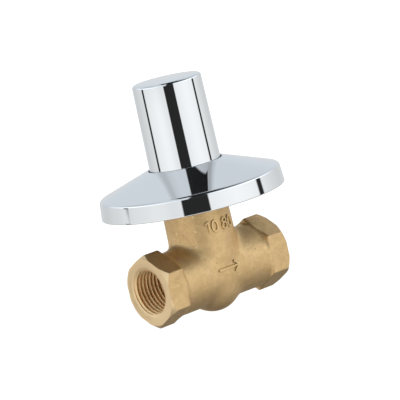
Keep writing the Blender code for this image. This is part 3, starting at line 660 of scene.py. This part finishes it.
def body_casting():
    values = dict(CAST_SIZES)
    made = grow("body_casting", cast_skin_tree(), values)
    high = NECK_TOP + TOOL_HEIGHT
    top = [(0.0, NECK_TOP), (TOOL_REACH, NECK_TOP), (TOOL_REACH, high), (0.0, high)]
    machine(made, turned("neck_face", top, SMALL_STEPS))
    for side in (-1, 1):
        machine(made, facing_tool(side))
    machine(made, water_way())
    thread = thread_tree()
    for side in (-1, 1):
        machine(made, tap(side, thread))
    mesh = made.data
    mesh.materials.clear()
    for name in ("cast_brass", "machined_brass", "threaded_brass"):
        mesh.materials.append(FINISH[name])
    for face in mesh.polygons:
        face.material_index = finish_of_spot(*face.center)
    smooth(made, 40)
    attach(made, "valve")
    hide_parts("valve_body")
    return made


# Cap and flange

UPWARD_SHARE = 0.3
DULL_FROM = -0.1
WALL_SHARES = (0.25, 0.5, 0.75)
RIM_SHARES = (0.02, 0.5, 0.96)
DOME_SHARES = (0.92, 0.84, 0.75, 0.65, 0.55, 0.45, 0.35, 0.25, 0.15, 0.07)


def plate(piece):
    """Bright chrome outside, dull plating where the polisher can't reach: on the
    faces that look inwards or straight down."""
    mesh = piece.data
    mesh.materials.append(FINISH["chrome"])
    mesh.materials.append(FINISH["dull_plating"])
    for face in mesh.polygons:
        outward = Vector((face.center.x, face.center.y, 0.0)).normalized()
        facing = face.normal.dot(outward) + UPWARD_SHARE * face.normal.z
        face.material_index = int(facing < DULL_FROM)


def cap_radius(height):
    return CAP_RADIUS - CAP_TAPER * height


def chrome_cap():
    shoulder = CAP_HEIGHT - CAP_DOME - CAP_EDGE
    flat = cap_radius(shoulder) - CAP_EDGE
    face = [(cap_radius(0.0), 0.0)]
    face += [(cap_radius(shoulder * share), shoulder * share) for share in WALL_SHARES]
    face += arc((flat, shoulder), CAP_EDGE, 0, 80, 14)
    last_radius, last_height = face[-1]
    for share in DOME_SHARES:
        face.append((last_radius * share, last_height + (CAP_HEIGHT - last_height) * (1 - share * share)))
    face.append((0.0, CAP_HEIGHT))
    section = sheet_section(face[::-1], CAP_WALL)
    section[len(face)] = (section[len(face)][0], 0.0)
    section[-1] = (0.0, CAP_HEIGHT - CAP_WALL)
    made = turned("chrome_cap", section, CAP_STEPS, CAP_BOTTOM)
    smooth(made, 35)
    plate(made)
    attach(made, "cap")
    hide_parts("cap")
    return made


def chrome_flange():
    mouth = cap_radius(FLANGE_BOTTOM + FLANGE_HEIGHT - CAP_BOTTOM) + FLANGE_GAP
    level = FLANGE_HEIGHT - BEAD_DROP
    bead = cap_radius(FLANGE_BOTTOM + level - CAP_BOTTOM) + RING_GAP + RING_THICKNESS
    shoulder = FLANGE_RADIUS - RIM_TAPER
    run = shoulder - RIM_EDGE - mouth - MOUTH_EDGE
    drop = FLANGE_HEIGHT - RIM_HEIGHT - RIM_EDGE
    lean = 90 - math.degrees(math.atan2(drop, run))
    face = [
        (mouth, level - BEAD_HALF - BEAD_LIP),
        (mouth, level - BEAD_HALF),
        (bead, level - BEAD_HALF + BEAD_SLOPE),
        (bead, level + BEAD_HALF - BEAD_SLOPE),
        (mouth, level + BEAD_HALF),
    ]
    face += arc((mouth + MOUTH_EDGE, FLANGE_HEIGHT - MOUTH_EDGE), MOUTH_EDGE, 180, lean, 8)
    flare = math.degrees(math.atan2(RIM_TAPER, RIM_HEIGHT))
    face += arc((shoulder - RIM_EDGE, RIM_HEIGHT), RIM_EDGE, lean, flare, 12)
    brow, hem = face[-1], (FLANGE_RADIUS, HEM_EDGE)
    for share in RIM_SHARES:
        face.append((brow[0] + (hem[0] - brow[0]) * share, brow[1] + (hem[1] - brow[1]) * share))
    face.append((FLANGE_RADIUS, 0.0))
    section = sheet_section(face, FLANGE_SHEET)
    section[len(face)] = (section[len(face)][0], 0.0)
    section[len(face) - 1:len(face)] = arc((FLANGE_RADIUS - HEM_EDGE, HEM_EDGE), HEM_EDGE, 0, -90, 6)
    made = turned("chrome_flange", section, FLANGE_STEPS, FLANGE_BOTTOM)
    smooth(made, 35)
    plate(made)
    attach(made, "flange")
    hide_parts("flange")
    return made


# Finishes

LIGHT_CAST = (0.94, 0.655, 0.33, 1.0)
DARK_CAST = (0.77, 0.525, 0.245, 1.0)
RED_CAST = (0.94, 0.625, 0.36, 1.0)
# Painted shade: the darker, browner colour laid into the casting's hollows
CAST_PAINTED_SHADE = (0.46, 0.31, 0.13, 1.0)
# Lighter metal for the painted highlight along convex edges and for the bright specks, on casting and marks
CAST_HIGHLIGHT_METAL = (1.0, 0.74, 0.42, 1.0)
MARK_HIGHLIGHT_METAL = (0.86, 0.60, 0.29, 1.0)
CAST_BUMP = 0.00014
TURNING_BUMP = 0.000008
# How far the ambient occlusion looks when it lays the painted shade in hollows
PAINTED_SHADE_REACH = 1.5 * MM


def new_finish(name, **values):
    """A material with one Principled shader, its plain values set."""
    made = bpy.data.materials.new(name)
    made.use_nodes = True
    shader = made.node_tree.nodes["Principled BSDF"]
    for label, value in values.items():
        shader.inputs[label.replace("_", " ").title()].default_value = value
    made.diffuse_color = (*values.get("base_color", (0.5, 0.5, 0.5, 1.0))[:3], 1.0)
    return made


def effect_group(name, entries, exits):
    """An empty shader group with named inputs and outputs."""
    tree = bpy.data.node_groups.new(name, "ShaderNodeTree")
    for label, kind, value in entries:
        socket = tree.interface.new_socket(label, in_out="INPUT", socket_type=kind)
        socket.default_value = value
    for label, kind in exits:
        tree.interface.new_socket(label, in_out="OUTPUT", socket_type=kind)
    return tree, tree.nodes.new("NodeGroupInput"), tree.nodes.new("NodeGroupOutput")


def cast_sand_group():
    """Sand grain, pits, bright specks and slow colour drift of a raw casting, and a painted highlight in the
    bright metal along its convex edges.
    """
    value, colour = "NodeSocketFloat", "NodeSocketColor"
    tree, entry, leave = effect_group(
        "cast_sand",
        [
            ("Light Metal", colour, (0.6, 0.4, 0.2, 1.0)),
            ("Dark Metal", colour, (0.4, 0.26, 0.12, 1.0)),
            ("Red Metal", colour, (0.6, 0.38, 0.22, 1.0)),
            ("Bright Metal", colour, (1.0, 0.8, 0.55, 1.0)),
        ],
        [("Colour", colour), ("Height", value), ("Roughness", value)],
    )
    nodes, links = tree.nodes, tree.links
    where = nodes.new("ShaderNodeTexCoord")

    def noise(scale, detail, roughness=0.5):
        made = nodes.new("ShaderNodeTexNoise")
        made.inputs["Scale"].default_value = scale
        made.inputs["Detail"].default_value = detail
        made.inputs["Roughness"].default_value = roughness
        links.new(where.outputs["Object"], made.inputs["Vector"])
        return made

    def spots(scale, share, reach):
        """Round spots in the given share of the cells, up to reach cells wide."""
        cells = nodes.new("ShaderNodeTexVoronoi")
        cells.inputs["Scale"].default_value = scale
        links.new(where.outputs["Object"], cells.inputs["Vector"])
        kind = nodes.new("ShaderNodeSeparateColor")
        links.new(cells.outputs["Color"], kind.inputs[0])
        chosen = Amount(tree, kind.outputs["Red"]).math("GREATER_THAN", 1.0 - share)
        size = Amount(tree, kind.outputs["Green"]) * 0.6 + 0.4
        return Amount(tree, cells.outputs["Distance"]).spread(size * reach * 0.5, size * reach, 1.0, 0.0) * chosen

    fine = Amount(tree, noise(1500.0, 5.0, 0.6).outputs["Fac"])
    slow = Amount(tree, noise(420.0, 3.0).outputs["Fac"]).spread(0.3, 0.7)
    wide = Amount(tree, noise(110.0, 2.0).outputs["Fac"]).spread(0.3, 0.7)
    bright = spots(scale=300.0, share=0.3, reach=0.16)
    pits = spots(scale=420.0, share=0.26, reach=0.2)
    height = fine * 0.5 + slow * 0.25 - pits * 0.8 + bright * 0.3
    links.new(height.socket, leave.inputs["Height"])

    def mix(factor, first, second):
        blend = nodes.new("ShaderNodeMix")
        blend.data_type = "RGBA"
        links.new(factor.socket, blend.inputs["Factor"])
        links.new(first, blend.inputs["A"])
        links.new(second, blend.inputs["B"])
        return blend.outputs["Result"]

    tone = slow * 0.4 + wide * 0.3 + fine.spread(0.35, 0.65) * 0.3 - pits * 0.9
    reddish = Amount(tree, noise(230.0, 3.0).outputs["Fac"]).spread(0.5, 0.72)
    plain = mix(reddish, entry.outputs["Light Metal"], entry.outputs["Red Metal"])
    metal = mix(tone.math("MAXIMUM", 0.0), entry.outputs["Dark Metal"], plain)
    geometry = nodes.new("ShaderNodeNewGeometry")
    # Painted highlight: convex edges, found by Pointiness, run to the bright metal colour
    corner = Amount(tree, geometry.outputs["Pointiness"]).spread(0.515, 0.60)
    edge_highlight_and_specks = corner.math("MAXIMUM", bright)
    links.new(mix(edge_highlight_and_specks, metal, entry.outputs["Bright Metal"]), leave.inputs["Colour"])
    rough = fine.spread(0.3, 0.7, 0.58, 0.44) - edge_highlight_and_specks * 0.1
    links.new(rough.socket, leave.inputs["Roughness"])
    return tree


def painted_hollow_shade_group():
    """Painted shade: darker, browner metal in corners and grooves, where the ambient occlusion finds them closed
    in.
    """
    value, colour = "NodeSocketFloat", "NodeSocketColor"
    tree, entry, leave = effect_group(
        "painted_hollow_shade",
        [
            ("Openness", value, 1.0),
            ("Metal", colour, (0.9, 0.7, 0.4, 1.0)),
            ("Shade", colour, (0.3, 0.18, 0.07, 1.0)),
        ],
        [("Colour", colour)],
    )
    blend = tree.nodes.new("ShaderNodeMix")
    blend.data_type = "RGBA"
    # Painted shade where the ambient occlusion finds the surface closed in
    open_part = Amount(tree, entry.outputs["Openness"]).spread(0.4, 0.95)
    tree.links.new(open_part.socket, blend.inputs["Factor"])
    tree.links.new(entry.outputs["Shade"], blend.inputs["A"])
    tree.links.new(entry.outputs["Metal"], blend.inputs["B"])
    tree.links.new(blend.outputs["Result"], leave.inputs["Colour"])
    return tree


def turning_lines_group():
    """Fine rings left by a turning tool, round the pipe or round the spindle."""
    value, vector = "NodeSocketFloat", "NodeSocketVector"
    tree, entry, leave = effect_group(
        "turning_lines",
        [("Place", vector, (0.0, 0.0, 0.0)), ("Line Scale", value, 9000.0)],
        [("Height", value)],
    )
    nodes, links = tree.nodes, tree.links
    split = nodes.new("ShaderNodeSeparateXYZ")
    links.new(entry.outputs["Place"], split.inputs[0])
    along, second, third = (Amount(tree, split.outputs[axis]) for axis in "XYZ")
    out = (second * second + third * third).root()
    combined = nodes.new("ShaderNodeCombineXYZ")
    links.new(out.socket, combined.inputs["X"])
    links.new(along.socket, combined.inputs["Y"])
    lines = nodes.new("ShaderNodeTexNoise")
    lines.inputs["Detail"].default_value = 2.0
    links.new(combined.outputs[0], lines.inputs["Vector"])
    links.new(entry.outputs["Line Scale"], lines.inputs["Scale"])
    links.new(lines.outputs["Fac"], leave.inputs["Height"])
    return tree


def handling_group():
    """Faint smears and fine dust that break up an even gloss."""
    value = "NodeSocketFloat"
    tree, entry, leave = effect_group(
        "handling",
        [("Smear Scale", value, 120.0), ("Clean Roughness", value, 0.03), ("Smeared Roughness", value, 0.09)],
        [("Roughness", value)],
    )
    nodes, links = tree.nodes, tree.links
    where = nodes.new("ShaderNodeTexCoord")
    smear = nodes.new("ShaderNodeTexNoise")
    smear.inputs["Detail"].default_value = 5.0
    smear.inputs["Distortion"].default_value = 1.2
    links.new(where.outputs["Object"], smear.inputs["Vector"])
    links.new(entry.outputs["Smear Scale"], smear.inputs["Scale"])
    clean = Amount(tree, entry.outputs["Clean Roughness"])
    dull = Amount(tree, entry.outputs["Smeared Roughness"])
    amount = Amount(tree, smear.outputs["Fac"]).spread(0.45, 0.8)
    links.new((clean + (dull - clean) * amount).socket, leave.inputs["Roughness"])
    return tree


def place_group(material, group, **values):
    node = material.node_tree.nodes.new("ShaderNodeGroup")
    node.node_tree = group
    for label, value in values.items():
        node.inputs[label.replace("_", " ").title()].default_value = value
    return node


def feed_roughness(material, node):
    shader = material.node_tree.nodes["Principled BSDF"]
    material.node_tree.links.new(node.outputs["Roughness"], shader.inputs["Roughness"])


def handle(material, group, clean, smeared, scale):
    """Gives a material the uneven gloss that hands and air leave."""
    feel = place_group(material, group, clean_roughness=clean, smeared_roughness=smeared, smear_scale=scale)
    feed_roughness(material, feel)


def bump(material, height, distance):
    nodes, links = material.node_tree.nodes, material.node_tree.links
    made = nodes.new("ShaderNodeBump")
    made.inputs["Strength"].default_value = 1.0
    made.inputs["Distance"].default_value = distance
    links.new(height, made.inputs["Height"])
    links.new(made.outputs["Normal"], nodes["Principled BSDF"].inputs["Normal"])


def paint_hollow_shade(material, group, shade, metal=None):
    """Feeds the base colour through the painted shade that the ambient occlusion lays in hollows."""
    nodes, links = material.node_tree.nodes, material.node_tree.links
    shader = nodes["Principled BSDF"]
    # Ambient occlusion picks where the painted shade goes
    around = nodes.new("ShaderNodeAmbientOcclusion")
    around.samples = 6
    around.inputs["Distance"].default_value = PAINTED_SHADE_REACH
    shaded = place_group(material, group, shade=shade)
    if metal is None:
        shaded.inputs["Metal"].default_value = shader.inputs["Base Color"].default_value
    else:
        links.new(metal, shaded.inputs["Metal"])
    links.new(around.outputs["AO"], shaded.inputs["Openness"])
    links.new(shaded.outputs["Colour"], shader.inputs["Base Color"])


def place_output(material, turn=None):
    """Object coordinates, turned so that the piece's own axis is the first."""
    nodes, links = material.node_tree.nodes, material.node_tree.links
    where = nodes.new("ShaderNodeTexCoord")
    if turn is None:
        return where.outputs["Object"]
    mapping = nodes.new("ShaderNodeMapping")
    mapping.inputs["Rotation"].default_value = turn
    links.new(where.outputs["Object"], mapping.inputs["Vector"])
    return mapping.outputs["Vector"]


def all_finishes():
    sand = cast_sand_group()
    lines = turning_lines_group()
    handled = handling_group()
    hollows = painted_hollow_shade_group()
    made = {}

    for name, title, corners in (
        ("cast_brass", "sand_cast_brass", CAST_HIGHLIGHT_METAL),
        ("mark_brass", "raised_mark_brass", MARK_HIGHLIGHT_METAL),
    ):
        cast = new_finish(title, metallic=1.0)
        grain = place_group(
            cast, sand, light_metal=LIGHT_CAST, dark_metal=DARK_CAST, red_metal=RED_CAST, bright_metal=corners
        )
        paint_hollow_shade(cast, hollows, CAST_PAINTED_SHADE, grain.outputs["Colour"])
        feed_roughness(cast, grain)
        bump(cast, grain.outputs["Height"], CAST_BUMP)
        made[name] = cast

    upright = (0.0, math.radians(90), 0.0)
    # Each finish: name, turn, colour, painted shade in its hollows, roughness
    for name, turn, colour, shade, roughness in (
        ("machined_brass", None, (1.0, 0.725, 0.405, 1.0), (0.72, 0.41, 0.13, 1.0), 0.3),
        ("threaded_brass", None, (1.0, 0.74, 0.41, 1.0), (0.97, 0.68, 0.33, 1.0), 0.5),
        ("turned_brass", upright, (0.86, 0.63, 0.33, 1.0), (0.60, 0.36, 0.13, 1.0), 0.3),
    ):
        metal = new_finish(f"{name}_finish", metallic=1.0, base_color=colour)
        cut = place_group(metal, lines, line_scale=7000.0)
        metal.node_tree.links.new(place_output(metal, turn), cut.inputs["Place"])
        handle(metal, handled, roughness, roughness + 0.12, 160.0)
        bump(metal, cut.outputs["Height"], TURNING_BUMP)
        paint_hollow_shade(metal, hollows, shade)
        made[name] = metal

    made["chrome"] = new_finish("bright_chrome", metallic=1.0, base_color=(0.92, 0.92, 0.92, 1.0))
    handle(made["chrome"], handled, 0.025, 0.06, 120.0)
    made["dull_plating"] = new_finish("dull_plating", metallic=1.0, base_color=(0.50, 0.535, 0.53, 1.0))
    handle(made["dull_plating"], handled, 0.45, 0.6, 90.0)

    for name, colour, roughness, scale in (
        ("rubber", (0.018, 0.018, 0.019, 1.0), 0.55, 900.0),
        ("fluoroplastic", (0.82, 0.82, 0.79, 1.0), 0.4, 600.0),
        ("fibre", (0.30, 0.07, 0.045, 1.0), 0.8, 1400.0),
    ):
        made[name] = new_finish(f"matte_{name}", base_color=colour)
        handle(made[name], handled, roughness, roughness + 0.15, scale)
    return made


def dress_solids():
    """Every solid that stays gets the finish of its record slot."""
    for entry in frame["record"]["subparts"]:
        solid = frame["nodes"][entry["node"]]
        name = entry["material_slot"]
        solid.data.materials.clear()
        solid.data.materials.append(FINISH.get(name, FINISH["turned_brass"]))


# Studio: degrees aside are counted from the camera's own direction to its right
# and degrees of height from the horizon

CAMERA_TURN = math.radians(-37.70)
CAMERA_RISE = math.radians(9.02)
CAMERA_ROLL = math.radians(12.71)
CAMERA_DISTANCE = 1.1364
CAMERA_LENS = 249.82
CAMERA_AIM = (2.70 * MM, -0.54 * MM, 30 * MM)
SENSOR_WIDTH = 36.0


def set_camera():
    """The photograph's view: low, turned towards the inlet and rolled."""
    turn, rise, roll = CAMERA_TURN, CAMERA_RISE, CAMERA_ROLL
    back = Vector((math.sin(turn) * math.cos(rise), -math.cos(turn) * math.cos(rise), math.sin(rise)))
    level = Vector((math.cos(turn), math.sin(turn), 0.0))
    upward = back.cross(level)
    right = level * math.cos(roll) - upward * math.sin(roll)
    top = level * math.sin(roll) + upward * math.cos(roll)
    target = Vector((0.0, 0.0, CAMERA_AIM[2])) + level * CAMERA_AIM[0] + upward * CAMERA_AIM[1]
    data = bpy.data.cameras.new("camera")
    data.lens = CAMERA_LENS
    data.sensor_width = SENSOR_WIDTH
    data.clip_start = 0.01
    data.clip_end = 50.0
    made = bpy.data.objects.new("camera", data)
    axes = Matrix((right, top, back)).transposed()
    made.matrix_world = Matrix.Translation(target + back * CAMERA_DISTANCE) @ axes.to_4x4()
    bpy.context.scene.collection.objects.link(made)
    bpy.context.scene.camera = made
    return made


# Light all round: degrees aside and brightness
PANELS = [
    (-180, 0.73), (-150, 0.66), (-136, 0.65), (-118, 0.72), (-104, 0.75), (-80, 0.90), (-66, 0.93), (-50, 0.98),
    (-38, 0.97), (-20, 0.86), (24, 0.91), (38, 0.96), (56, 1.0), (72, 0.97), (82, 0.94), (106, 0.80), (118, 0.74),
    (140, 0.66), (180, 0.73),
]
UPPER_ROOM = [
    (-180, 0.71), (-135, 0.69), (-112, 0.56), (-92, 0.55), (-76, 0.65), (-45, 0.72), (0, 0.70),
    (88, 0.50), (100, 0.40), (112, 0.47), (125, 0.61), (150, 0.66), (180, 0.69),
]
LOW_ROOM = [(-180, 0.38), (-90, 0.60), (0, 1.39), (90, 0.58), (180, 0.38)]
DEEP_ROOM = [(-180, 0.10), (-90, 0.29), (0, 0.44), (90, 0.30), (180, 0.10)]
SIDE_GLOW = [(-180, 0.0), (-140, 0.0), (-90, 0.62), (0, 0.0), (90, 0.73), (140, 0.0), (180, 0.0)]
ZENITH = 0.71

# Dark things: degrees aside, degrees of height
HOOD_ASIDE, HOOD_HEIGHT = (-14.7, 18.8), (-17, 9)
THROAT_ASIDE, THROAT_HEIGHT = (-5, 20), (8, 40)
GAP_ASIDE = (88.5, 96.5)
RIGHT_GAP_HEIGHT = (-15, 12)
LEFT_GAP_LOW, LEFT_GAP_HIGH = (-15, -3.4), (-1.2, 12)
CANOPY_ASIDE = (-3, 90)
CANOPY_MIDDLE = 75.0
CANOPY_EDGE = 44.3
CANOPY_SAG = -0.0015
CANOPY_FALL = -0.0109
BOOM_SIDES = (-0.2, 0.3)
DARKNESS = -0.975
RIM_DIMMER = -0.12
LOW_TINT = (0.97, 1.0, 1.02, 1.0)
HIGH_TINT = (0.92, 1.0, 1.08, 1.0)


def studio_light():
    """White panels beside the camera fading into a grey room, with a dark hood
    round the camera, a canopy and a boom over it and dark gaps at both sides.
    The background is plain white."""
    world = bpy.data.worlds.new("studio")
    world.use_nodes = True
    tree = world.node_tree
    nodes, links = tree.nodes, tree.links
    where = nodes.new("ShaderNodeTexCoord")
    split = nodes.new("ShaderNodeSeparateXYZ")
    links.new(where.outputs["Generated"], split.inputs[0])
    x, y, z = (Amount(tree, split.outputs[axis]) for axis in "XYZ")
    sine, cosine = math.sin(CAMERA_TURN), math.cos(CAMERA_TURN)
    sideways = x * cosine + y * sine
    forward = x * sine - y * cosine
    degrees = 360 / TURN
    aside = sideways.math("ARCTAN2", forward) * degrees
    height = z.math("ARCSINE") * degrees

    def around(stops):
        """Brightness that changes with the direction aside. The ramp itself holds
        a third of the brightness plus one, so that it stays between 0 and 1."""
        ramp = nodes.new("ShaderNodeValToRGB")
        links.new((aside / 360.0 + 0.5).socket, ramp.inputs["Fac"])
        points = ramp.color_ramp.elements
        while len(points) < len(stops):
            points.new(0.5)
        for point, (place, value) in zip(points, stops):
            point.position = place / 360 + 0.5
            held = (value + 1.0) / 3.0
            point.color = (held, held, held, 1.0)
        return Amount(tree, ramp.outputs["Color"]) * 3.0 - 1.0

    def band(amount, low, high, soft=1.0):
        """One between low and high, with edges twice as wide as soft."""
        rise = (amount - low) / soft
        fall = (amount - high) / -soft
        return rise.spread(-1.0, 1.0) * fall.spread(-1.0, 1.0)

    upward = height.spread(14, 34)
    panels = around(PANELS)
    light = panels + (around(UPPER_ROOM) - panels) * upward
    light = light + around(SIDE_GLOW) * height.spread(9, 15) * height.spread(25, 33, 1.0, 0.0)
    over_rim = height.spread(-6, -1.5) * height.spread(6, 12, 1.0, 0.0)
    left_side = aside.spread(-95, -85) * aside.spread(-30, -10, 1.0, 0.0)
    light = light * (over_rim * left_side * RIM_DIMMER + 1.0)
    below = height.spread(-22, -11)
    far_below = height.spread(-52, -30)
    low = around(LOW_ROOM)
    deep = around(DEEP_ROOM)
    ground = deep + (low - deep) * far_below
    light = ground + (light - ground) * below
    overhead = height.spread(62, 76, 1.0, 0.0)
    light = light * overhead + (overhead * -1.0 + 1.0) * ZENITH
    hood = band(aside, *HOOD_ASIDE) * band(height, *HOOD_HEIGHT)
    throat = band(aside, *THROAT_ASIDE, 2.0) * band(height, *THROAT_HEIGHT, 2.0)
    off_middle = aside - CANOPY_MIDDLE
    past_middle = off_middle.math("MAXIMUM", 0.0)
    arch = off_middle * off_middle * CANOPY_SAG + past_middle * past_middle * CANOPY_FALL + CANOPY_EDGE
    canopy = band(aside, *CANOPY_ASIDE, 3.0) * (height - arch).spread(-0.8, 0.8)
    canopy = canopy * height.spread(66, 80, 1.0, 0.0)
    left_heights = band(height, *LEFT_GAP_LOW, 0.2) + band(height, *LEFT_GAP_HIGH, 0.4)
    left_gap = band(aside * -1.0, *GAP_ASIDE, 1.5) * left_heights
    right_gap = band(aside, *GAP_ASIDE, 1.5) * band(height, *RIGHT_GAP_HEIGHT)
    boom = band(sideways, *BOOM_SIDES, 0.03) * height.spread(58, 63) * forward.spread(-0.36, -0.28)
    dark = hood
    for other in (throat, canopy, left_gap + right_gap, boom):
        dark = dark.math("MAXIMUM", other)
    light = light * (dark * DARKNESS + 1.0)
    tint = nodes.new("ShaderNodeMix")
    tint.data_type = "RGBA"
    tint.inputs["A"].default_value = LOW_TINT
    tint.inputs["B"].default_value = HIGH_TINT
    links.new(height.spread(0, 16).socket, tint.inputs["Factor"])
    lit = nodes["Background"]
    links.new(tint.outputs["Result"], lit.inputs["Color"])
    links.new(light.socket, lit.inputs["Strength"])
    plain = nodes.new("ShaderNodeBackground")
    plain.inputs["Color"].default_value = (1.0, 1.0, 1.0, 1.0)
    seen = nodes.new("ShaderNodeLightPath")
    choose = nodes.new("ShaderNodeMixShader")
    links.new(seen.outputs["Is Camera Ray"], choose.inputs[0])
    links.new(lit.outputs[0], choose.inputs[1])
    links.new(plain.outputs[0], choose.inputs[2])
    links.new(choose.outputs[0], nodes["World Output"].inputs["Surface"])
    bpy.context.scene.world = world
    bpy.context.scene.view_settings.view_transform = "Standard"


FLOOR_RADIUS = 3.0
FLOOR_LEVEL = -18 * MM
FLOOR_GLOW = 0.9


def pale_floor():
    """A plain floor just under the bowl, left out of the reflections."""
    bm = bmesh.new()
    bmesh.ops.create_circle(bm, cap_ends=True, segments=96, radius=FLOOR_RADIUS)
    made = mesh_object("floor", bm)
    made.location.z = FLOOR_LEVEL
    pale = new_finish("pale_floor", base_color=(0.5, 0.5, 0.5, 1.0), roughness=0.9)
    shader = pale.node_tree.nodes["Principled BSDF"]
    shader.inputs["Emission Color"].default_value = (1.0, 1.0, 1.0, 1.0)
    shader.inputs["Emission Strength"].default_value = FLOOR_GLOW
    made.data.materials.append(pale)
    made.visible_glossy = False


FINISH = all_finishes()
set_camera()
studio_light()
pale_floor()
dress_solids()
casting = body_casting()
raised_marks(casting)
chrome_cap()
chrome_flange()
